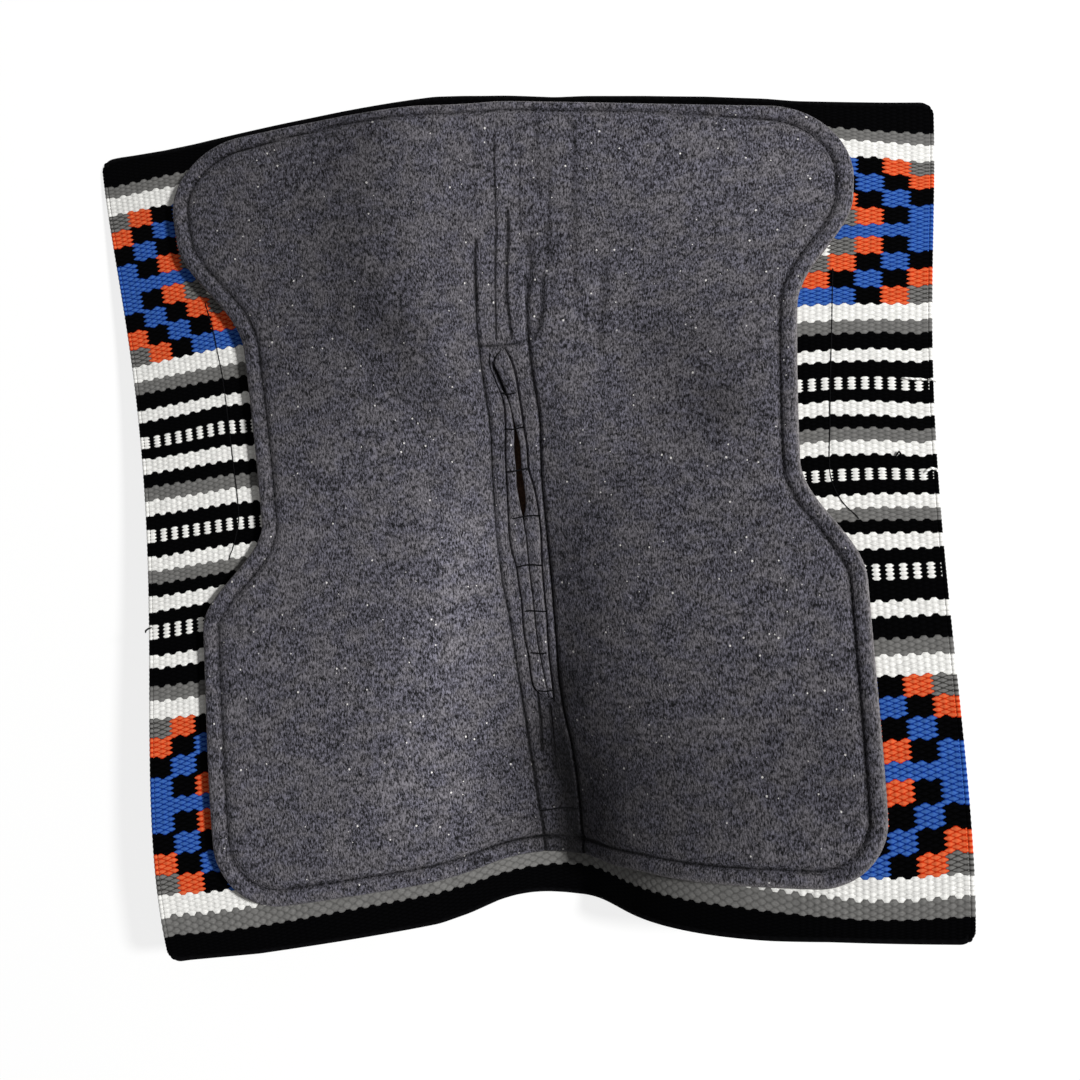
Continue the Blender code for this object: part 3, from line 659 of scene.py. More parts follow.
def outline_distance(u, v):
    """Distance of pattern points from the lining's outline."""
    right, left = outline_points(OUTLINE_STEP)
    ends = []
    for index in (0, -1):
        across = np.arange(left[index, 0], right[index, 0], OUTLINE_STEP)
        ends.append(np.stack([across, np.full_like(across, right[index, 1])], -1))
    outline = np.concatenate([right, left, *ends])
    tree = KDTree(len(outline))
    for index, point in enumerate(outline):
        tree.insert((*point, 0), index)
    tree.balance()
    found = [tree.find((a, b, 0))[2] for a, b in zip(u.ravel(), v.ravel())]
    return np.array(found).reshape(u.shape)


def crease_inset(u, v):
    """Distance of the border's crease from the outline, which is less along the front and rear ends."""
    middle = 1 - ease(np.abs(u), *CREASE_TURN)
    rear_end = sizes().blanket - FELT_REAR_MARGIN
    front = middle * ease(v, CREASE_RUN, 0)
    rear = middle * ease(v, rear_end - CREASE_RUN, rear_end)
    return (SIDE_CREASE_INSET + (FRONT_CREASE_INSET - SIDE_CREASE_INSET) * front
            + (REAR_CREASE_INSET - SIDE_CREASE_INSET) * rear)


def line_distance(u, v, line):
    """Distance of pattern points from a line through points given in mm."""
    nearest = np.full(u.shape, np.inf)
    points = np.array(line) * MM
    for start, end in zip(points, points[1:]):
        along = end - start
        share = ((u - start[0]) * along[0] + (v - start[1]) * along[1]) / (along @ along)
        share = np.clip(share, 0, 1)
        away = np.hypot(u - start[0] - share * along[0], v - start[1] - share * along[1])
        nearest = np.minimum(nearest, away)
    return nearest


def slab_points(upper, lower):
    """Pattern points of a slab's top grid and then of its underside, from the u, v and w of each."""
    grids = (np.stack(np.broadcast_arrays(*grid), -1) for grid in (upper, lower))
    return np.concatenate([grid.reshape(-1, 3) for grid in grids])


def grid_faces(index):
    """Faces between the neighbours of a grid of point numbers."""
    return np.stack([index[:-1, :-1], index[1:, :-1], index[1:, 1:], index[:-1, 1:]], -1).reshape(-1, 4)


def slab_faces(rows, columns):
    """Faces of a closed slab whose top grid comes first and whose underside grid follows."""
    lower = rows * columns
    index = np.arange(lower).reshape(rows, columns)
    top = grid_faces(index)
    ring = np.concatenate([index[0, :-1], index[:-1, -1], index[-1, :0:-1], index[:0:-1, 0]])
    following = np.roll(ring, -1)
    wall = np.stack([ring, following, following + lower, ring + lower], -1)
    return np.concatenate([top, top[:, ::-1] + lower, wall])


def make_mesh(name, points, faces, material, attributes=None, sharp_degrees=None):
    """A smooth mesh object, with any float or vector attributes on its points."""
    mesh = bpy.data.meshes.new(name)
    if isinstance(faces, np.ndarray):
        faces = faces.tolist()
    mesh.from_pydata([tuple(point) for point in points], [], faces)
    for key, values in (attributes or {}).items():
        vector = values.ndim == 2
        layer = mesh.attributes.new(key, "FLOAT_VECTOR" if vector else "FLOAT", "POINT")
        layer.data.foreach_set("vector" if vector else "value", values.astype(np.float32).ravel())
    mesh.validate()
    mesh.materials.append(material)
    mesh.shade_smooth()
    if sharp_degrees:
        mesh.set_sharp_from_angle(angle=math.radians(sharp_degrees))
    piece = bpy.data.objects.new(name, mesh)
    bpy.context.scene.collection.objects.link(piece)
    return piece


def settle(piece, slot, *nodes):
    """Ride on the pad's one body and stand for the CAD solids; the slot is not used."""
    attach(piece, "root")
    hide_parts(*nodes)
    return piece


def tube(name, flat_route, radius, material, sides=8, closed=False, swell=None, extra=None):
    """A tube along a pattern route, laid into the set shape, with flat caps on its open ends."""
    route = place(np.asarray(flat_route, dtype=float))
    count = len(route)
    radii = np.full(count, radius) if swell is None else radius * np.asarray(swell)
    if closed:
        forward = np.roll(route, -1, axis=0) - np.roll(route, 1, axis=0)
    else:
        forward = np.gradient(route, axis=0)
    forward /= np.linalg.norm(forward, axis=1, keepdims=True)
    up = np.tile((0.0, 0.0, 1.0), (count, 1))
    side = np.cross(forward, up)
    side /= np.linalg.norm(side, axis=1, keepdims=True)
    up = np.cross(side, forward)
    turn = 2 * np.pi * np.arange(sides) / sides
    spread = radii[:, None, None]
    rings = route[:, None] + side[:, None] * (np.cos(turn)[None, :, None] * spread)
    points = (rings + up[:, None] * (np.sin(turn)[None, :, None] * spread)).reshape(-1, 3)
    faces = []
    for ring in range(count if closed else count - 1):
        following = (ring + 1) % count
        for corner in range(sides):
            after = (corner + 1) % sides
            faces.append((
                ring * sides + corner, ring * sides + after,
                following * sides + after, following * sides + corner,
            ))
    if not closed:
        faces.append(tuple(range(sides))[::-1])
        faces.append(tuple((count - 1) * sides + corner for corner in range(sides)))
    length = np.concatenate([[0], np.cumsum(np.linalg.norm(np.diff(route, axis=0), axis=1))])
    attributes = {"cord_place": np.stack([
        np.repeat(length, sides), np.tile(turn, count), np.zeros(count * sides)], -1)}
    for key, values in (extra or {}).items():
        attributes[key] = np.repeat(values, sides, axis=0)
    return make_mesh(name, points, faces, material, attributes)


def pick_table():
    """Pattern length and pick number at each edge of a band, from the front end to the rear end."""
    front = np.array([width for _, width, _ in DRAFT])
    rear = np.array([*REAR_WIDTHS, *front[len(REAR_WIDTHS):]])
    picks = [0] + [count for _, _, count in DRAFT]
    front_lengths, rear_lengths = (
        np.cumsum([0, *widths]) * (sizes().blanket / 2 / sum(widths)) for widths in (front, rear))
    half_picks = np.cumsum(picks)
    lengths = np.concatenate([front_lengths, sizes().blanket - rear_lengths[-2::-1]])
    numbers = np.concatenate([half_picks, 2 * half_picks[-1] - half_picks[-2::-1]])
    return lengths, numbers


def woven_wool(name):
    """Weft-faced wool: thick ribs wholly covered by soft yarn, each pass over a rib a rice-grain bead.

    The eye sees matt, springy yarn, beads that interlock where colours meet, and heather in the grey.
    """
    material, tree = start_material(name)
    tone = colours()
    weave = add_node(tree, "ShaderNodeAttribute", output=1, attribute_name="weave_place")
    split = add_node(tree, "ShaderNodeSeparateXYZ", {0: weave})
    known = {"rib": split, "pick": split.node.outputs[1]}
    block_band = [yarn for yarn, _, _ in DRAFT].index("blocks")
    block_start = sum(picks for _, _, picks in DRAFT[:block_band])
    block_picks = DRAFT[block_band][2]
    block_middle = block_start + block_picks / 2
    steps = (
        # The line between two ribs waves with the picks, further in the blocks, so that beads interlock
        ("rib_turn", "MULTIPLY", "rib", math.pi), ("rib_wave", "COSINE", "rib_turn"),
        ("pick_fold", "PINGPONG", "pick", 1.0), ("pick_wave", "MULTIPLY_ADD", "pick_fold", -2.0, 1.0),
        ("pick_other", "SUBTRACT", 2.0 * HALF_PICKS, "pick"), ("pick_near", "MINIMUM", "pick", "pick_other"),
        ("pick_away", "SUBTRACT", "pick_near", block_middle), ("pick_off", "ABSOLUTE", "pick_away"),
        ("in_blocks", "LESS_THAN", "pick_off", block_picks / 2.0),
        ("reach", "MULTIPLY_ADD", "in_blocks", 0.22, 0.2),
        ("both", "MULTIPLY", "rib_wave", "pick_wave"), ("shifted", "MULTIPLY_ADD", "both", "reach", "rib"),
        # The bead that a point lies in, which covers two picks, and the point's place along and across it
        ("column", "FLOOR", "shifted"), ("odd", "FLOORED_MODULO", "column", 2.0),
        ("from_odd", "SUBTRACT", "pick", "odd"), ("pairs", "MULTIPLY", "from_odd", 0.5),
        ("pair", "ROUND", "pairs"), ("bead", "MULTIPLY_ADD", "pair", 2.0, "odd"),
        ("along", "SUBTRACT", "pick", "bead"), ("inside", "SUBTRACT", "shifted", "column"),
        ("across", "SUBTRACT", "inside", 0.5),
        # The pick of half the draft that dyes the bead, and how many blocks the rib lies in from its side
        ("other_end", "SUBTRACT", 2.0 * HALF_PICKS, "bead"), ("mirrored", "MINIMUM", "bead", "other_end"),
        ("nearest", "MAXIMUM", "mirrored", 0.0), ("middle_of_pick", "ADD", "nearest", 0.5),
        ("band", "DIVIDE", "middle_of_pick", float(RAMP_STEPS)),
        ("other_side", "SUBTRACT", RIBS - 1.0, "column"), ("from_edge", "MINIMUM", "column", "other_side"),
        ("edge_rib", "MAXIMUM", "from_edge", 0.0), ("counted", "ADD", "edge_rib", 1.0),
        ("quarters", "DIVIDE", "counted", float(BLOCK_RIBS)),
        ("block", "FLOOR", "quarters"),
    )
    for result, operation, *terms in steps:
        inputs = {index: known.get(term, term) for index, term in enumerate(terms)}
        known[result] = add_node(tree, "ShaderNodeMath", inputs, operation=operation)

    # A ramp is read in 256 steps, so each pick of half the draft is given one step
    starts = np.cumsum([0] + [picks for _, _, picks in DRAFT])
    stops = []
    for (yarn, _, _), start in zip(DRAFT, starts):
        code = {"blocks": 0.5, "dashes": 0.0}.get(yarn, 1.0)
        dye = linear(getattr(tone, yarn, tone.black))[:3] + (code,)
        stops.append((max(start - 0.5, 0) / RAMP_STEPS, dye))
    bands = add_node(tree, "ShaderNodeValToRGB", {0: known["band"]})
    set_stops(bands, stops)

    known["code"] = bands.node.outputs[1]
    centre = block_start + (block_picks - 1) / 2
    steps = (
        # Stairs of the blocks: each colour takes one step, and they climb from both sides of a bar
        ("from_centre", "SUBTRACT", "nearest", centre), ("off_centre", "ABSOLUTE", "from_centre"),
        ("past_bar", "SUBTRACT", "off_centre", BAR_PICKS / 2),
        ("steps", "DIVIDE", "past_bar", float(BLOCK_PICKS)), ("step", "CEIL", "steps"),
        ("step_up", "SUBTRACT", "block", "step"), ("stair", "ADD", "step_up", 1.0),
        ("outer_row", "GREATER_THAN", "step", 3.5), ("down", "MINIMUM", "stair", 0.0),
        ("inner_row", "GREATER_THAN", "step", 0.5), ("changed", "SUBTRACT", "down", "stair"),
        ("fixed", "MULTIPLY_ADD", "changed", "outer_row", "stair"), ("size", "ABSOLUTE", "fixed"),
        ("stair_size", "MULTIPLY", "size", "inner_row"), ("stair_middle", "ADD", "stair_size", 0.5),
        ("stair_share", "DIVIDE", "stair_middle", 8.0),
        # Dashes: every second rib of their bands is white
        ("is_block", "COMPARE", "code", 0.5, 0.2), ("is_dash", "LESS_THAN", "code", 0.2),
        ("white_dash", "SUBTRACT", 1.0, "odd"), ("dash", "MULTIPLY", "is_dash", "white_dash"),
        # Beads: round across the rib, and falling off softly towards both of their ends
        ("across_turn", "MULTIPLY", "across", math.pi), ("across_round", "COSINE", "across_turn"),
        ("along_turn", "MULTIPLY", "along", math.pi / 2), ("along_round", "COSINE", "along_turn"),
        ("along_top", "MAXIMUM", "along_round", 0.0), ("along_soft", "POWER", "along_top", 0.7),
        ("across_top", "MAXIMUM", "across_round", 0.0),
        ("across_soft", "MULTIPLY_ADD", "across_top", 0.6, 0.4),
        ("bead_height", "MULTIPLY", "along_soft", "across_soft"),
    )
    for result, operation, *terms in steps:
        inputs = {index: known.get(term, term) for index, term in enumerate(terms)}
        known[result] = add_node(tree, "ShaderNodeMath", inputs, operation=operation)

    stairs = add_node(tree, "ShaderNodeValToRGB", {0: known["stair_share"]})
    order = (tone.blue, tone.black, tone.orange, tone.grey, tone.white)
    set_stops(stairs, [(index / 8, linear(colour)) for index, colour in enumerate(order)])
    dyed = bands
    for share, other in ((known["is_block"], stairs), (known["dash"], linear(tone.white))):
        dyed = add_node(tree, "ShaderNodeMix", {0: share, 6: dyed, 7: other}, 2, data_type="RGBA")

    # One value for each bead. Single fibres are too fine to show, so they are drawn as streaks 3 mm long
    # and 0.6 mm wide, counted in ribs of 6 mm and picks of 2.2 mm.
    cell = add_node(tree, "ShaderNodeCombineXYZ", {0: known["column"], 1: known["bead"]})
    each = add_node(tree, "ShaderNodeTexWhiteNoise", {0: cell}, noise_dimensions="2D")
    fibre_place = add_node(tree, "ShaderNodeVectorMath", {0: weave, 1: (2.0, 3.4, 1.0)}, operation="MULTIPLY")
    fibre = add_node(tree, "ShaderNodeTexNoise", {
        "Vector": fibre_place, "Scale": 1.0, "Detail": 3.0, "Roughness": 0.7}, noise_dimensions="2D")
    fibre_light = add_node(tree, "ShaderNodeMapRange", {0: fibre, 1: 0.3, 2: 0.7, 3: 0.80, 4: 1.16})
    bead_light = add_node(tree, "ShaderNodeMapRange", {0: each, 1: 0.0, 2: 1.0, 3: 0.90, 4: 1.05})
    # Between the beads the colour is painted darker as shade, most in the blocks, and undyed wool stays pale
    painted_hollow_shade = add_node(tree, "ShaderNodeMapRange", {0: known["bead_height"], 1: 0.1, 2: 0.8, 3: 0.84, 4: 1.0})
    most = add_node(tree, "ShaderNodeMath", {0: known["in_blocks"], 1: 0.75, 2: 1.2},
                    operation="MULTIPLY_ADD")
    painted_gap_shade = add_node(tree, "ShaderNodeMapRange", {0: known["bead_height"], 1: 0.1, 2: 0.8, 3: most, 4: 1.0})
    dyed = add_node(tree, "ShaderNodeGamma", {0: dyed, 1: painted_gap_shade})
    light = fibre_light
    for share in (bead_light, painted_hollow_shade):
        light = add_node(tree, "ShaderNodeMath", {0: light, 1: share}, operation="MULTIPLY")
    shaded = add_node(tree, "ShaderNodeVectorMath", {0: dyed, 3: light}, operation="SCALE")
    height = add_node(tree, "ShaderNodeMath", {0: fibre, 1: 0.2, 2: known["bead_height"]},
                      operation="MULTIPLY_ADD")
    bump = add_node(tree, "ShaderNodeBump", {"Height": height, "Strength": 0.55, "Distance": 0.7 * MM})
    surface = add_node(tree, "ShaderNodeBsdfPrincipled", {
        "Base Color": shaded, "Roughness": 0.95, "Normal": bump, "Specular IOR Level": 0.02,
    })
    add_node(tree, "ShaderNodeOutputMaterial", {0: surface})
    return material


def pressed_felt(name, dark, light, warm, specks):
    """Pressed wool felt: matt, with a fine grain of dark and pale fibres, and specks of lint.

    The eye sees grey with a touch of violet, darker where shade is painted into the creases, seams and
    valley, paler where light is painted, and pale at the fluffed cut edge, which on the right is also a
    painted highlight.
    """
    material, tree = start_material(name)
    tone = colours()
    spot = add_node(tree, "ShaderNodeAttribute", output=1, attribute_name="cut_place")
    # The attribute holds painted shade, in the creases, seams and valley, and painted light where it is below
    # 0
    crease = add_node(tree, "ShaderNodeAttribute", output=2, attribute_name="crease")
    rim = add_node(tree, "ShaderNodeAttribute", output=2, attribute_name="rim")
    # Single fibres are too fine to show, so they are drawn as grain 1.6 mm wide and 3 mm long and hairs 1 mm
    # wide and 4 mm long, in tufts 7 mm wide and 5 mm long and patches 30 mm wide and 20 mm long
    noises = []
    for scales in ((620.0, 340.0, 620.0), (1050.0, 250.0, 1050.0), (150.0, 190.0, 150.0), (33.0, 50.0, 33.0)):
        at = add_node(tree, "ShaderNodeVectorMath", {0: spot, 1: scales}, operation="MULTIPLY")
        noises.append(add_node(tree, "ShaderNodeTexNoise", {
            "Vector": at, "Scale": 1.0, "Detail": 2.5, "Roughness": 0.65}))
    grain, hairs, tufts, patches = noises
    mixed = grain
    for noise, weight in ((hairs, 0.8), (tufts, 0.36), (patches, 0.26)):
        mixed = add_node(tree, "ShaderNodeMath", {0: noise, 1: weight, 2: mixed}, operation="MULTIPLY_ADD")
    share = add_node(tree, "ShaderNodeMapRange", {0: mixed, 1: 1.02, 2: 1.40, 3: 0.0, 4: 1.0})
    share = add_node(tree, "ShaderNodeMath", {0: share, 1: 1.4}, operation="POWER")
    warmth = add_node(tree, "ShaderNodeMapRange", {0: patches, 1: 0.42, 2: 0.58, 3: 0.0, 4: 1.0})
    pale = add_node(tree, "ShaderNodeMix", {0: warmth, 6: linear(light), 7: linear(warm)}, 2,
                    data_type="RGBA")
    heather = add_node(tree, "ShaderNodeMix", {0: share, 6: linear(dark), 7: pale}, 2, data_type="RGBA")
    # Lint: in some of the 8 mm cells a speck up to 2 mm wide
    speck_place = add_node(tree, "ShaderNodeVectorMath", {0: spot, 1: (130.0, 115.0, 130.0)},
                           operation="MULTIPLY")
    speck = add_node(tree, "ShaderNodeTexVoronoi", {"Vector": speck_place, "Scale": 1.0}, feature="F1")
    chosen = add_node(tree, "ShaderNodeTexWhiteNoise", {0: speck.node.outputs[2]}, noise_dimensions="3D")
    radius = add_node(tree, "ShaderNodeMapRange", {
        0: chosen, 1: 0.0, 2: max(specks, 0.001), 3: 0.135, 4: 0.0})
    lint = add_node(tree, "ShaderNodeMath", {0: speck, 1: radius}, operation="LESS_THAN")
    dusted = add_node(tree, "ShaderNodeMix", {0: lint, 6: heather, 7: linear(tone.lint)}, 2, data_type="RGBA")
    raised = add_node(tree, "ShaderNodeMath", {0: share, 1: 0.65, 2: 0.35}, operation="MULTIPLY_ADD")
    # The pale edge mixes in fluffed fibre, and on the right a painted highlight
    fluff_and_highlight = add_node(tree, "ShaderNodeMath", {0: rim, 1: raised}, operation="MULTIPLY")
    edged = add_node(tree, "ShaderNodeMix", {0: fluff_and_highlight, 6: dusted, 7: linear(tone.rim)}, 2, data_type="RGBA")
    # Shade and light are painted into the colour here: 1 darkens it to 0.12, and below 0 it grows paler
    painted_shade_level = add_node(tree, "ShaderNodeMapRange", {0: crease, 1: 0.0, 2: 1.0, 3: 1.0, 4: 0.12},
                       clamp=False)
    shaded = add_node(tree, "ShaderNodeVectorMath", {0: edged, 3: painted_shade_level}, operation="SCALE")
    bump = add_node(tree, "ShaderNodeBump", {"Height": mixed, "Strength": 0.7, "Distance": 0.9 * MM})
    surface = add_node(tree, "ShaderNodeBsdfPrincipled", {
        "Base Color": shaded, "Roughness": 1.0, "Normal": bump, "Specular IOR Level": 0.03,
        "Sheen Weight": 0.03, "Sheen Roughness": 0.7,
    })
    add_node(tree, "ShaderNodeOutputMaterial", {0: surface})
    return material


def twisted_cord(name, colour, pitch, roughness):
    """Plied cord or twisted thread: the eye sees slanting plies that catch a little light on top."""
    material, tree = start_material(name)
    spot = add_node(tree, "ShaderNodeAttribute", output=1, attribute_name="cord_place")
    split = add_node(tree, "ShaderNodeSeparateXYZ", {0: spot})
    run = add_node(tree, "ShaderNodeMath", {0: split, 1: 2 * math.pi / pitch}, operation="MULTIPLY")
    slant = add_node(tree, "ShaderNodeMath", {0: run, 1: split.node.outputs[1]}, operation="ADD")
    ply = add_node(tree, "ShaderNodeMath", {0: slant}, operation="SINE")
    # Fibres 0.6 mm long, as coarse as they need to show
    fibre_place = add_node(tree, "ShaderNodeVectorMath", {0: spot, 1: (1600.0, 2.0, 1.0)},
                           operation="MULTIPLY")
    fibre = add_node(tree, "ShaderNodeTexNoise", {"Vector": fibre_place, "Scale": 1.0, "Detail": 3.0})
    height = add_node(tree, "ShaderNodeMath", {0: fibre, 1: 0.6, 2: ply}, operation="MULTIPLY_ADD")
    # Painted highlight on the plies' tops and painted shade between them, with fibre noise
    tone = add_node(tree, "ShaderNodeMapRange", {0: height, 1: -1.0, 2: 1.4, 3: 0.6, 4: 1.5})
    shaded = add_node(tree, "ShaderNodeVectorMath", {0: linear(colour)[:3], 3: tone}, operation="SCALE")
    bump = add_node(tree, "ShaderNodeBump", {"Height": height, "Strength": 0.6, "Distance": 0.3 * MM})
    surface = add_node(tree, "ShaderNodeBsdfPrincipled", {
        "Base Color": shaded, "Roughness": roughness, "Normal": bump, "Specular IOR Level": 0.05,
    })
    add_node(tree, "ShaderNodeOutputMaterial", {0: surface})
    return material


def shared_material(name, make, *values):
    return bpy.data.materials.get(name) or make(name, *values)


def wool_material():
    return shared_material("woven wool, weft-faced", woven_wool)


def felt_material():
    tone = colours()
    return shared_material("charcoal felt, pressed", pressed_felt,
                           tone.felt_dark, tone.felt_light, tone.felt_warm, 0.5)


def thread_material():
    return shared_material("waxed thread, twisted", twisted_cord, colours().thread, PLY_PITCH["thread"], 0.55)


def wander(u, v):
    """How far a row of the weave has been beaten towards the rear at pattern points."""
    places = np.array([place for place, _ in WANDER]) * MM
    columns = np.array([values for _, values in WANDER]).T * MM
    along = np.stack([np.interp(v, places, column) for column in columns], -1)
    across = np.array(WANDER_ACROSS) * MM
    result = np.zeros_like(v)
    for index in range(len(across) - 1):
        share = (u - across[index]) / (across[index + 1] - across[index])
        inside = (share > 0) & (share <= 1)
        result = np.where(inside, along[..., index] * (1 - share) + along[..., index + 1] * share, result)
    result = np.where(u <= across[0], along[..., 0], result)
    result = np.where(u > across[-1], along[..., -1], result)
    result = result + ease(v, *FRONT_BOW_REACH) * follow(*zip(*FRONT_BOW), u)
    return result + ease(v, *REAR_BOW_REACH) * follow(*zip(*REAR_BOW), u)


def round_corners(u, v):
    """Draw the square blanket's corners in, with a radius of CORNER_ROUND."""
    size = sizes()
    side = 1 - np.clip((size.blanket / 2 - np.abs(u)) / CORNER_ROUND, 0, 1)
    end = 1 - np.clip(np.minimum(v, size.blanket - v) / CORNER_ROUND, 0, 1)
    inward = CORNER_ROUND * side * (1 - np.sqrt(1 - end**2 / 2))
    back = CORNER_ROUND * end * (1 - np.sqrt(1 - side**2 / 2))
    return u - np.sign(u) * inward, v + np.where(v < size.blanket / 2, 1, -1) * back


class PAD_OT_blanket(bpy.types.Operator):
    """Weave the square blanket, rib by rib and pick by pick"""

    bl_idname = "pad.blanket"
    bl_label = "Woven blanket"

    def execute(self, context):
        size = sizes()
        top, bottom = layer_heights()[1:]
        edge = np.arange(0, EDGE_RIBS, EDGE_RIB_STEP)
        inner = EDGE_RIBS + np.arange(0, RIBS - 2 * EDGE_RIBS, RIB_STEP)
        rib = np.unique(np.round(np.concatenate([edge, inner, RIBS - edge[::-1] - EDGE_RIB_STEP, [RIBS]]), 4))
        pick = np.arange(2 * HALF_PICKS + 1, dtype=float)
        lengths, numbers = pick_table()
        grid_rib, grid_pick = np.meshgrid(rib, pick)
        grid_u, grid_v = np.meshgrid((rib / RIBS - 0.5) * size.blanket, np.interp(pick, numbers, lengths))
        column = np.floor(np.minimum(grid_rib, RIBS - 0.01))
        ridge = np.sqrt(np.abs(np.sin(np.pi * grid_rib)))
        bead = 0.5 + 0.5 * np.cos(np.pi * (grid_pick - column % 2))
        from_edge = np.minimum(grid_rib, RIBS - grid_rib)
        relief = ridge * (RIB_SHARE + (1 - RIB_SHARE) * bead)
        relief = np.maximum(relief, 1 - EDGE_RELIEF_FALL * from_edge)
        grid_u, grid_v = round_corners(grid_u, grid_v + wander(grid_u, grid_v))
        # The underside has every second point of the top
        coarse = (slice(None, None, 2), slice(None, None, 2))
        flat = slab_points(
            (grid_u, grid_v, top - WEAVE_RELIEF * (1 - relief)), (grid_u[coarse], grid_v[coarse], bottom))
        weave = slab_points((grid_rib, grid_pick, 0.0), (grid_rib[coarse], grid_pick[coarse], 1.0))
        index = np.arange(grid_u.size).reshape(grid_u.shape)
        under = grid_u.size + np.arange(grid_u[coarse].size).reshape(grid_u[coarse].shape)
        faces = grid_faces(index).tolist() + grid_faces(under)[:, [0, 3, 2, 1]].tolist()
        rings = (
            (index[0], under[0]), (index[:, -1], under[:, -1]),
            (index[-1, ::-1], under[-1, ::-1]), (index[::-1, 0], under[::-1, 0]),
        )
        for upper_ring, lower_ring in rings:
            for step in range(len(lower_ring) - 1):
                high = upper_ring[2 * step:2 * step + 3]
                faces.append([*map(int, high), int(lower_ring[step + 1]), int(lower_ring[step])])
        points = place(flat)
        # The floor holds the blanket up where it lies
        points[:, 2] = np.maximum(points[:, 2], 0.0)
        blanket = make_mesh("woven_blanket_cloth", points, faces, wool_material(), {"weave_place": weave})
        settle(blanket, "wool_weave", "woven_blanket")
        return {"FINISHED"}


def felt_grid(inner, outer, step):
    """Columns of a felt piece between two edges that run along the pad, close together at both."""
    seam, near = np.array(SEAM_COLUMNS) * MM, np.array(EDGE_COLUMNS) * MM
    reach = (outer - inner)[:, None]
    share = np.linspace(0, 1, int((reach.max() - EDGE_COLUMNS_REACH) / step) + 2)[1:-1]
    middle = seam[-1] + (reach - seam[-1] - near[-1]) * share
    near_seam = np.tile(seam, (len(reach), 1))
    return inner[:, None] + np.concatenate([near_seam, middle, reach - near[::-1]], axis=1)


def slant(u, v):
    """Where along the pad the lining lies: its ends bow with the blanket, and the rear one slants.

    The bows are only on the left and in the middle, and the slant lies forward on the right.
    """
    front, rear = FELT_FRONT_MARGIN, sizes().blanket - FELT_REAR_MARGIN
    bow = FELT_BOW_SHARE * follow(*zip(*REAR_BOW), u) * ease(u, *REAR_BOW_SPAN)
    moved = bow - FELT_REAR_SLANT * ease(u, *REAR_SLANT_SPAN)
    inward = FRONT_BOW_SHARE * follow(*zip(*FRONT_BOW), u) * ease(u, *FRONT_BOW_SPAN)
    return v + moved * ease(v, rear - BOW_RUN, rear) + inward * ease(v, front + BOW_RUN, front)


def felt_height(u, v):
    """Height of the lining's top, how much shade and light is painted on it, and how far its pale edge of
    fluff and painted highlight reaches.
    """
    distance = outline_distance(u, v)
    bordered = distance * CREASE_INSET / crease_inset(u, v)
    height = np.interp(bordered, BORDER_INSETS, BORDER_SHARES) * sizes().felt_thickness
    # Painted shade in the border's crease, in the seams and in the creases
    painted_shade_level = BORDER_DARK * bell(bordered - CREASE_INSET, CREASE_WIDTH)
    shown = ease(v, *SEAM_FADE)
    for side, _ in SIDES:
        away = u - follow_seam(side, v)
        height -= SEAM_DIP * shown * bell(away, SEAM_WIDTH)
        painted_shade_level = np.maximum(painted_shade_level, SEAM_DARK * shown * bell(away, SEAM_DARK_WIDTH))
    for depth, width, line in CREASES:
        fall = bell(line_distance(u, v, line), width * MM)
        height -= depth * MM * fall
        painted_shade_level = np.maximum(painted_shade_level, CREASE_DARK * min(depth, CREASE_DARK_DEPTH) * fall)
    # Broad strokes of painted shade, and of painted light where the strength is below 0
    for strength, width, line in PAINTED_SHADE_AND_LIGHT:
        painted_shade_level = painted_shade_level + strength * bell(line_distance(u, v, line), width * MM)
    ripple = np.sin(u / RIPPLE_ACROSS + RIPPLE_BEND * np.sin(v / RIPPLE_ALONG))
    height += RIPPLE * ripple * ease(distance, 0, RIPPLE_MARGIN)
    # The pale edge is fluffed fibre, widened on the right by a painted highlight
    fluff_and_highlight_width = FLUFF_WIDTH + PAINTED_EDGE_HIGHLIGHT * ease(u, *EDGE_HIGHLIGHT_ACROSS) * ease(v, *EDGE_HIGHLIGHT_ALONG)
    return height, np.minimum(painted_shade_level, DARKEST), bell(distance, fluff_and_highlight_width)


def felt_values(flat, painted_shade_level, rim):
    """What the felt's material reads at each point of a slab: its place, its painted shade and light, and its
    pale edge of fluff and painted highlight.
    """
    return {
        "cut_place": flat,
        "crease": np.concatenate([painted_shade_level.ravel(), np.zeros(painted_shade_level.size)]),
        "rim": np.concatenate([rim.ravel(), rim.ravel()]),
    }


def felt_piece(name, node, flat, faces, values, sharp_degrees=None):
    """A padded piece of the charcoal lining."""
    piece = make_mesh(name, place(flat), faces, felt_material(), values, sharp_degrees)
    settle(piece, "charcoal_felt", node)


class PAD_OT_core(bpy.types.Operator):
    """Cut the brown felt that lies between the blanket and the lining"""

    bl_idname = "pad.core"
    bl_label = "Core felt"

    def execute(self, context):
        tone = colours()
        material = pressed_felt("brown felt, pressed", tone.core_dark, tone.core, tone.core, 0.0)
        v = outline_rows(CORE_ROW)
        left = -felt_half_width("left", v) - CORE_OUTSET["left"]
        right = felt_half_width("right", v) + CORE_OUTSET["right"]
        share = np.linspace(-1, 1, CORE_COLUMNS)
        share = (1 + np.sign(share) * (1 - (1 - np.abs(share)) ** CORE_COLUMN_POWER)) / 2
        u = left[:, None] + (right - left)[:, None] * share
        moved = slant(u, v[:, None])
        flat = slab_points((u, moved, -LAYER_GAP), (u, moved, layer_heights()[0]))
        values = felt_values(flat, np.zeros(u.shape), np.zeros(u.shape))
        core = make_mesh("core_felt_sheet", place(flat), slab_faces(*u.shape), material, values)
        settle(core, "core_felt", "inner_core_felt")
        return {"FINISHED"}


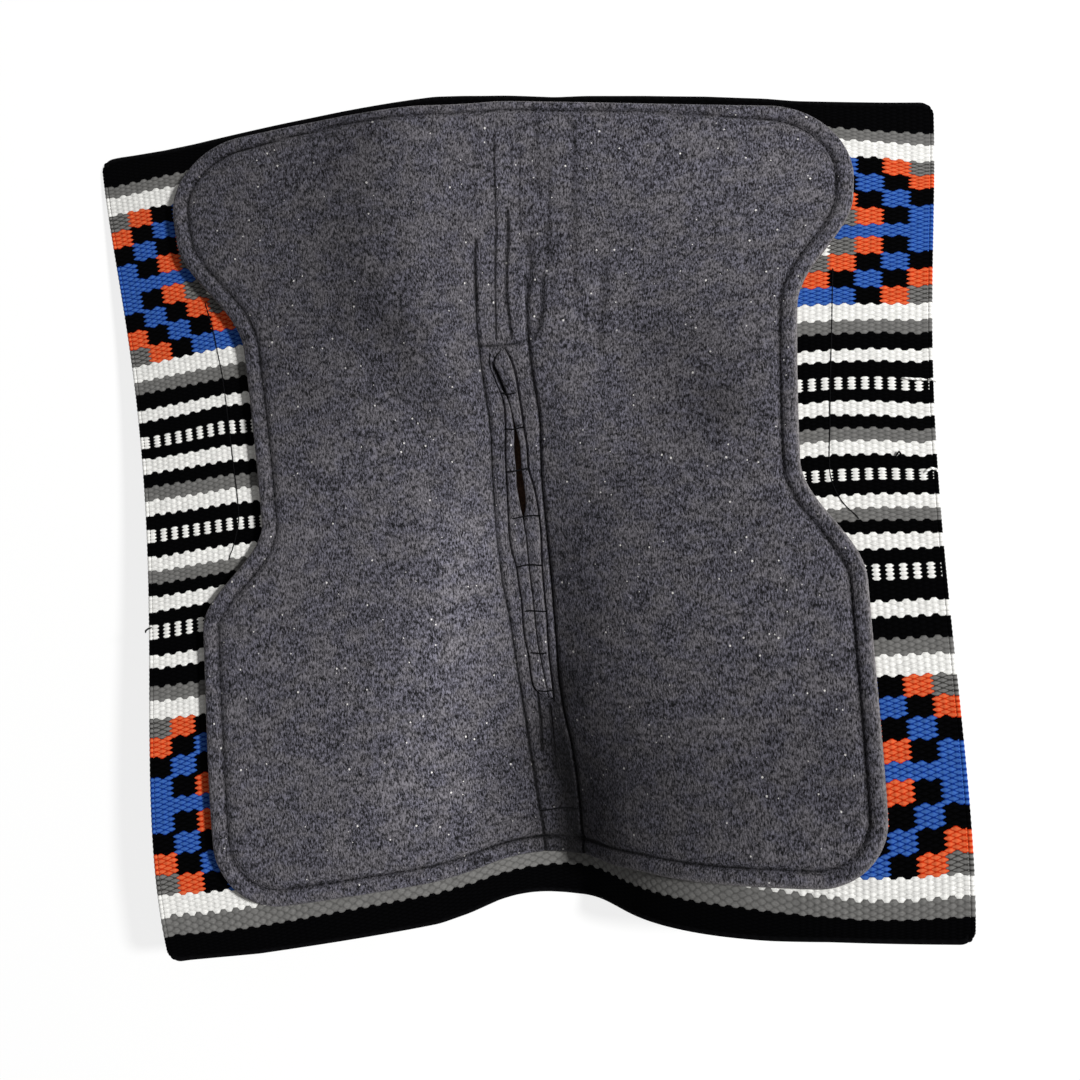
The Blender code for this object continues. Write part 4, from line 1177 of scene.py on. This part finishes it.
class PAD_OT_felt_lining(bpy.types.Operator):
    """Cut and crease the two halves of the charcoal lining"""

    bl_idname = "pad.felt_lining"
    bl_label = "Felt lining"

    def execute(self, context):
        v = outline_rows(LINING_ROW)
        gap = SEAM_PLAY + SEAM_OPENING * ease(v, *SEAM_FADE)
        ends = (FELT_FRONT_MARGIN + WALL_INSET, sizes().blanket - FELT_REAR_MARGIN - WALL_INSET)
        for name, side in SIDES:
            outer = felt_half_width(name, v)
            u = side * felt_grid(side * follow_seam(name, v) + gap, outer, LINING_COLUMN)
            if side < 0:
                u = u[:, ::-1]
            u, grid_v = np.broadcast_arrays(u, v[:, None])
            height, painted_shade_level, rim = felt_height(u, grid_v)
            lower_u, lower_v = u * (1 - WALL_INSET / outer[:, None]), np.clip(grid_v, *ends)
            flat = slab_points((u, slant(u, grid_v), height), (lower_u, slant(lower_u, lower_v), 0.0))
            values = felt_values(flat, painted_shade_level, rim)
            felt_piece(f"felt_{name}_panel", f"felt_lining_{name}", flat, slab_faces(*u.shape), values,
                       FELT_SHARP_DEGREES)
        return {"FINISHED"}


def slit_edge(side, v):
    places, left, right = zip(*SLIT_EDGES)
    return follow(places, right if side > 0 else left, v)


def lip_edges(name, v):
    places, inner, outer = zip(*LIPS[name])
    return follow(places, inner, v), follow(places, outer, v)


class PAD_OT_spine_strip(bpy.types.Operator):
    """Cut the strip over the spine, in two halves that part at the slit"""

    bl_idname = "pad.spine_strip"
    bl_label = "Spine strip"

    def execute(self, context):
        thickness = sizes().felt_thickness
        v = outline_rows(STRIP_ROW)
        share = np.linspace(0, 1, STRIP_COLUMNS)
        front, rear = LIPS["left"][0][0] * MM, LIPS["right"][-1][0] * MM
        faces, places, attributes = [], [], []
        for name, side in SIDES:
            inner, outer = slit_edge(side, v)[:, None], follow_seam(name, v)[:, None] - side * SEAM_PLAY
            u = inner + (outer - inner) * (share if side > 0 else 1 - share)
            u, grid_v = np.broadcast_arrays(u, v[:, None])
            height, painted_shade_level, rim = felt_height(u, grid_v)
            beyond = np.maximum(front - grid_v, grid_v - rear)
            past_lip = side * (u - lip_edges(name, v)[1][:, None])
            bed = ease(beyond, BED_RUN, 0) * ease(past_lip, BED_PLAY + BED_WALL, BED_PLAY)
            height = np.minimum(height, thickness * (1 - (1 - LIP_BED_SHARE) * bed))
            moved = slant(u, grid_v)
            flat = slab_points((u, moved, height), (u, moved, 0.0))
            faces.append(slab_faces(*u.shape) + sum(map(len, places)))
            places.append(flat)
            attributes.append(felt_values(flat, painted_shade_level, rim))
        values = {key: np.concatenate([half[key] for half in attributes]) for key in attributes[0]}
        felt_piece("spine_strip_felt", "spine_strip", np.concatenate(places), np.concatenate(faces), values,
                   FELT_SHARP_DEGREES)
        return {"FINISHED"}


def bar_pinch(v):
    """How far the threads over the slit press the lips down."""
    return sum(bell(v - bar * MM, LIP_PINCH_WIDTH) for bar, _, _ in BARS)


class PAD_OT_slit_lips(bpy.types.Operator):
    """Roll the two felt lips along the slit"""

    bl_idname = "pad.slit_lips"
    bl_label = "Slit lips"

    def execute(self, context):
        bed = LIP_BED_SHARE * sizes().felt_thickness + LAYER_GAP
        turn = np.linspace(0, np.pi, LIP_COLUMNS)
        share = (1 - np.cos(turn)) / 2
        for name, side in SIDES:
            front, rear = LIPS[name][0][0] * MM, LIPS[name][-1][0] * MM
            v = np.linspace(front, rear, int((rear - front) / LIP_ROW))
            inner, outer = lip_edges(name, v)[::side]
            u = inner[:, None] + (outer - inner)[:, None] * share
            ends = np.sqrt(np.clip(np.minimum(v - front, rear - v) / LIP_TAPER, LIP_TIP_SHARE, 1))
            rise = np.minimum(LIP_THICKNESS, LIP_RISE_SHARE * np.abs(outer - inner))
            rise = (rise - LIP_PINCH * bar_pinch(v)) * ends
            height = bed + rise[:, None] * np.sin(turn) ** LIP_ROUND_POWER
            flat = slab_points((u, v[:, None], height), (u, v[:, None], bed))
            rim = LIP_FLUFF * np.tile(np.cos(turn) ** 4, (len(v), 1))
            values = felt_values(flat, np.zeros(u.shape), rim)
            felt_piece(f"slit_{name}_lip", f"slit_lip_{name}", flat, slab_faces(*u.shape), values)
        return {"FINISHED"}


class PAD_OT_stitching(bpy.types.Operator):
    """Run the black threads round the border, over the slit and along the waist"""

    bl_idname = "pad.stitching"
    bl_label = "Stitching"

    def execute(self, context):
        self.border()
        self.bridges()
        self.end_bar()
        self.waist()
        return {"FINISHED"}

    def border(self):
        """Machine stitches that dip in and out of the crease of the lining's border."""
        size = sizes()
        groove = np.interp(CREASE_INSET, BORDER_INSETS, BORDER_SHARES) * size.felt_thickness
        ring = self.ring()
        run = np.concatenate([[0], np.cumsum(np.linalg.norm(np.diff(ring, axis=0), axis=1))])
        at = np.linspace(0, run[-1], int(run[-1] / BORDER_STEP), endpoint=False)
        u, v = np.interp(at, run, ring[:, 0]), np.interp(at, run, ring[:, 1])
        wave = np.sin(np.pi * at / size.stitch) ** 2
        height = groove + STITCH_RISE_SHARE * size.thread * (wave - STITCH_SINK)
        route = np.stack([u, slant(u, v), height], -1)
        thread = tube("border_thread", route, size.thread, thread_material(), closed=True)
        settle(thread, "black_thread", "perimeter_stitch")

    def bridges(self):
        """Doubled threads over the slit, which sag a little and turn down at both ends."""
        size = sizes()
        lip_top = LIP_BED_SHARE * size.felt_thickness + LAYER_GAP + LIP_THICKNESS - LIP_PINCH + BAR_RISE
        share = np.linspace(-1, 1, BAR_STEPS)
        for number, (bar, left, right) in enumerate(BARS, start=1):
            across = ((left + right) / 2 + share * (right - left) / 2) * MM
            sag = BAR_SAG * np.sin(BAR_SAG_TURN * share + number)
            route = np.stack([across, bar * MM + sag, lip_top - BAR_DROP * share**8], -1)
            piece = tube(f"bridge_thread_{number}", route, BAR_RADIUS_SHARE * size.thread, thread_material())
            settle(piece, "black_thread", f"bridge_stitch_{number}")

    def end_bar(self):
        """One doubled thread along the felt's top, near the rear end of the spine strip."""
        bar, left, right = (value * MM for value in END_BAR)
        across = np.linspace(left, right, END_BAR_STEPS)
        along = np.full_like(across, bar)
        height = felt_height(across[None], along[None])[0][0]
        route = np.stack([across, along, height + END_BAR_RISE], -1)
        piece = tube("end_bar_thread", route, BAR_RADIUS_SHARE * sizes().thread, thread_material())
        settle(piece, "black_thread", "end_bar_stitch")

    def waist(self):
        """Stitches along the blanket outside the lining's waist."""
        size = sizes()
        for name, _ in SIDES:
            across, places = zip(*WAIST_LINES[name])
            start, end = places[0] * MM, places[-1] * MM
            v = np.linspace(start, end, WAIST_STEPS)
            wave = np.sin(np.pi * (v - start) / size.stitch) ** 2
            height = layer_heights()[1] + WAIST_STITCH_RISE * (wave - WAIST_STITCH_SINK)
            route = np.stack([follow(places, across, v), v, height], -1)
            thread = tube(f"waist_thread_{name}", route, size.thread, thread_material())
            settle(thread, "black_thread", f"waist_stitch_{name}")

    def ring(self):
        """Closed line along the crease of the lining's border, in pattern coordinates."""
        right, left = outline_points(RING_STEP)
        ends = []
        for index in (0, -1):
            across = np.linspace(left[index, 0], right[index, 0], CORNER_STEPS)[1:-1]
            ends.append(np.stack([across, np.full_like(across, right[index, 1])], -1))
        outline = np.concatenate([right, ends[1][::-1], left[::-1], ends[0], right[:1]])
        along = np.gradient(outline, axis=0)
        inward = np.stack([-along[:, 1], along[:, 0]], -1)
        inward /= np.linalg.norm(inward, axis=1, keepdims=True)
        return outline + inward * crease_inset(*outline.T)[:, None]


class PAD_OT_edge_cords(bpy.types.Operator):
    """Lay the selvedge cords, the header cords and the corner knots"""

    bl_idname = "pad.edge_cords"
    bl_label = "Edge cords"

    def execute(self, context):
        black = twisted_cord("black wool cord, plied", colours().black, PLY_PITCH["cord"], 0.95)
        self.selvedges()
        self.headers(black)
        self.knots(black)
        self.loose_yarns()
        return {"FINISHED"}

    def route(self, u, v, out_u, out_v):
        """A cord's route along the blanket's edge, moved outwards from the rounded corners."""
        top, bottom = layer_heights()[1:]
        u, rounded = round_corners(u, v + wander(u, v))
        return np.stack([u + out_u, rounded + out_v, np.full_like(u, (top + bottom) / 2 + CORD_RISE)], -1)

    def selvedges(self):
        """The weft's own cord at each side, thicker at each turn of the weft."""
        size = sizes()
        v = np.linspace(0, size.blanket, 4 * HALF_PICKS + 1)
        picks = np.interp(v, *pick_table())
        wrap = 1 + SELVEDGE_SWELL * np.cos(np.pi * picks)
        for (name, side), rib in zip(SIDES, (SELVEDGE_RIB, RIBS - SELVEDGE_RIB)):
            route = self.route(np.full_like(v, side * size.blanket / 2), v, side * (size.cord - CORD_SINK), 0)
            weave = np.stack([np.full_like(v, rib), picks, 0 * v], -1)
            cord = tube(f"selvedge_{name}_cord", route, size.cord, wool_material(), CORD_SIDES, swell=wrap,
                        extra={"weave_place": weave})
            settle(cord, "wool_weave", f"selvedge_cord_{name}")

    def headers(self, material):
        """The black cord along each end."""
        size = sizes()
        u = np.linspace(-size.blanket / 2, size.blanket / 2, HEADER_STEPS)
        for (name, end), v in zip(ENDS, (0.0, size.blanket)):
            route = self.route(u, np.full_like(u, v), 0, end * (size.cord - CORD_SINK))
            cord = tube(f"header_{name}_cord", route, size.cord, material, CORD_SIDES)
            settle(cord, "black_cord", f"header_cord_{name}")

    def knots(self, material):
        """A small loop of cord at each corner."""
        size = sizes()
        out = (size.cord - CORD_SINK) / 2
        inward = (1 - math.sqrt(0.5)) * CORNER_ROUND
        height = layer_heights()[2] + KNOT_RISE
        turn = 2 * np.pi * np.linspace(0, 1, KNOT_STEPS)[:-1]
        loop = np.stack([
            KNOT_LOOP * np.cos(turn), KNOT_LOOP * np.sin(turn), KNOT_TWIST * np.sin(2 * turn)], -1)
        for (end_name, end), v in zip(ENDS, (inward, size.blanket - inward)):
            for side_name, side in SIDES:
                centre = (side * (size.blanket / 2 - inward + out), v + end * out, height)
                knot = tube(f"knot_{end_name}_{side_name}", loop + centre, KNOT_CORD, material, KNOT_SIDES,
                            closed=True)
                settle(knot, "black_cord", f"corner_knot_{end_name}_{side_name}")

    def loose_yarns(self):
        """Ends of weft that have worked out of the blanket at its sides."""
        top = layer_heights()[1]
        taper = 1 - YARN_TAPER * np.linspace(-1, 1, YARN_STEPS) ** 4
        for number, (colour, radius, points) in enumerate(LOOSE_YARN, start=1):
            yarn = shared_material(f"loose {colour} yarn", twisted_cord, getattr(colours(), colour),
                                   PLY_PITCH["yarn"], 0.95)
            points = np.array(points) * MM + (0, 0, top)
            at = np.linspace(0, len(points) - 1, YARN_STEPS)
            route = np.stack([np.interp(at, np.arange(len(points)), column) for column in points.T], -1)
            piece = tube(f"loose_yarn_{number}", route, radius * MM, yarn, swell=taper)
            settle(piece, "wool_weave", "selvedge_cord_left" if points[0, 0] < 0 else "selvedge_cord_right")


class PAD_OT_stage(bpy.types.Operator):
    """Set the floor, world, lamp and camera"""

    bl_idname = "pad.stage"
    bl_label = "Studio"

    def execute(self, context):
        scene = context.scene
        scene.view_settings.view_transform = "Standard"
        self.floor()
        self.world(scene)
        self.lamp(scene)
        self.camera(scene)
        return {"FINISHED"}

    def background_share(self, tree):
        """1 for the rays that show a background, which are those of the camera and of gloss, and else 0."""
        seen = add_node(tree, "ShaderNodeLightPath")
        return add_node(tree, "ShaderNodeMath", {0: seen, 1: seen.node.outputs[3]}, operation="MAXIMUM")

    def floor(self):
        """Matt white paint: the eye sees pale, even ground that still takes the pad's soft shadow."""
        material, tree = start_material("studio floor, painted")
        matt = add_node(tree, "ShaderNodeBsdfDiffuse", {"Color": linear(colours().floor)})
        glow = add_node(tree, "ShaderNodeEmission", {"Color": (1, 1, 1, 1), "Strength": FLOOR_GLOW})
        part = add_node(tree, "ShaderNodeMath", {0: self.background_share(tree), 1: FLOOR_GLOW_SHARE},
                        operation="MULTIPLY")
        mixed = add_node(tree, "ShaderNodeMixShader", {0: part, 1: matt, 2: glow})
        add_node(tree, "ShaderNodeOutputMaterial", {0: mixed})
        corners = [(x * FLOOR_HALF, y * FLOOR_HALF, 0) for x, y in ((-1, -1), (1, -1), (1, 1), (-1, 1))]
        make_mesh("studio_floor", corners, [(0, 1, 2, 3)], material)

    def world(self, scene):
        world = bpy.data.worlds.new("studio")
        scene.world = world
        world.use_nodes = True
        tree = world.node_tree
        tree.nodes.clear()
        strength = add_node(tree, "ShaderNodeMapRange", {
            0: self.background_share(tree), 3: WORLD_LIGHT, 4: 1.0})
        sky = add_node(tree, "ShaderNodeBackground", {"Color": (1, 1, 1, 1), "Strength": strength})
        add_node(tree, "ShaderNodeOutputWorld", {0: sky})

    def lamp(self, scene):
        lamp = bpy.data.lights.new("key", "AREA")
        lamp.shape = "DISK"
        lamp.size = LAMP_SIZE
        lamp.energy = LAMP_POWER
        light = bpy.data.objects.new("key", lamp)
        light.location = LAMP_PLACE
        light.rotation_euler = (-Vector(LAMP_PLACE)).to_track_quat("-Z", "Y").to_euler()
        scene.collection.objects.link(light)

    def camera(self, scene):
        camera = bpy.data.cameras.new("camera")
        camera.sensor_width = CAMERA_FILM
        camera.lens = CAMERA_FILM * CAMERA_REACH_PX / PHOTO_PX
        view = bpy.data.objects.new("camera", camera)
        view.location = CAMERA_PLACE
        view.rotation_euler = Euler([math.radians(angle) for angle in CAMERA_TURN], "XYZ")
        scene.collection.objects.link(view)
        scene.camera = view


OPERATORS = (
    PAD_OT_stage, PAD_OT_blanket, PAD_OT_core, PAD_OT_felt_lining, PAD_OT_spine_strip,
    PAD_OT_slit_lips, PAD_OT_stitching, PAD_OT_edge_cords,
)


class PAD_PT_sidebar(bpy.types.Panel):
    """Sizes, colours and pieces of the pad"""

    bl_idname = "PAD_PT_sidebar"
    bl_label = "Saddle pad"
    bl_space_type = "VIEW_3D"
    bl_region_type = "UI"
    bl_category = "Saddle pad"

    def draw(self, context):
        for group in (context.scene.pad_sizes, context.scene.pad_colours):
            box = self.layout.box()
            for name in group.__annotations__:
                box.prop(group, name)
        for operator in OPERATORS:
            self.layout.operator(operator.bl_idname)


CLASSES = (PadSizes, PadColours, *OPERATORS, PAD_PT_sidebar)


def register():
    for item in CLASSES:
        bpy.utils.register_class(item)
    bpy.types.Scene.pad_sizes = bpy.props.PointerProperty(type=PadSizes)
    bpy.types.Scene.pad_colours = bpy.props.PointerProperty(type=PadColours)


def unregister():
    del bpy.types.Scene.pad_colours
    del bpy.types.Scene.pad_sizes
    for item in reversed(CLASSES):
        bpy.utils.unregister_class(item)


def main():
    register()
    for operator in OPERATORS:
        getattr(bpy.ops.pad, operator.bl_idname.split(".")[1])()


if __name__ == "__main__":
    main()
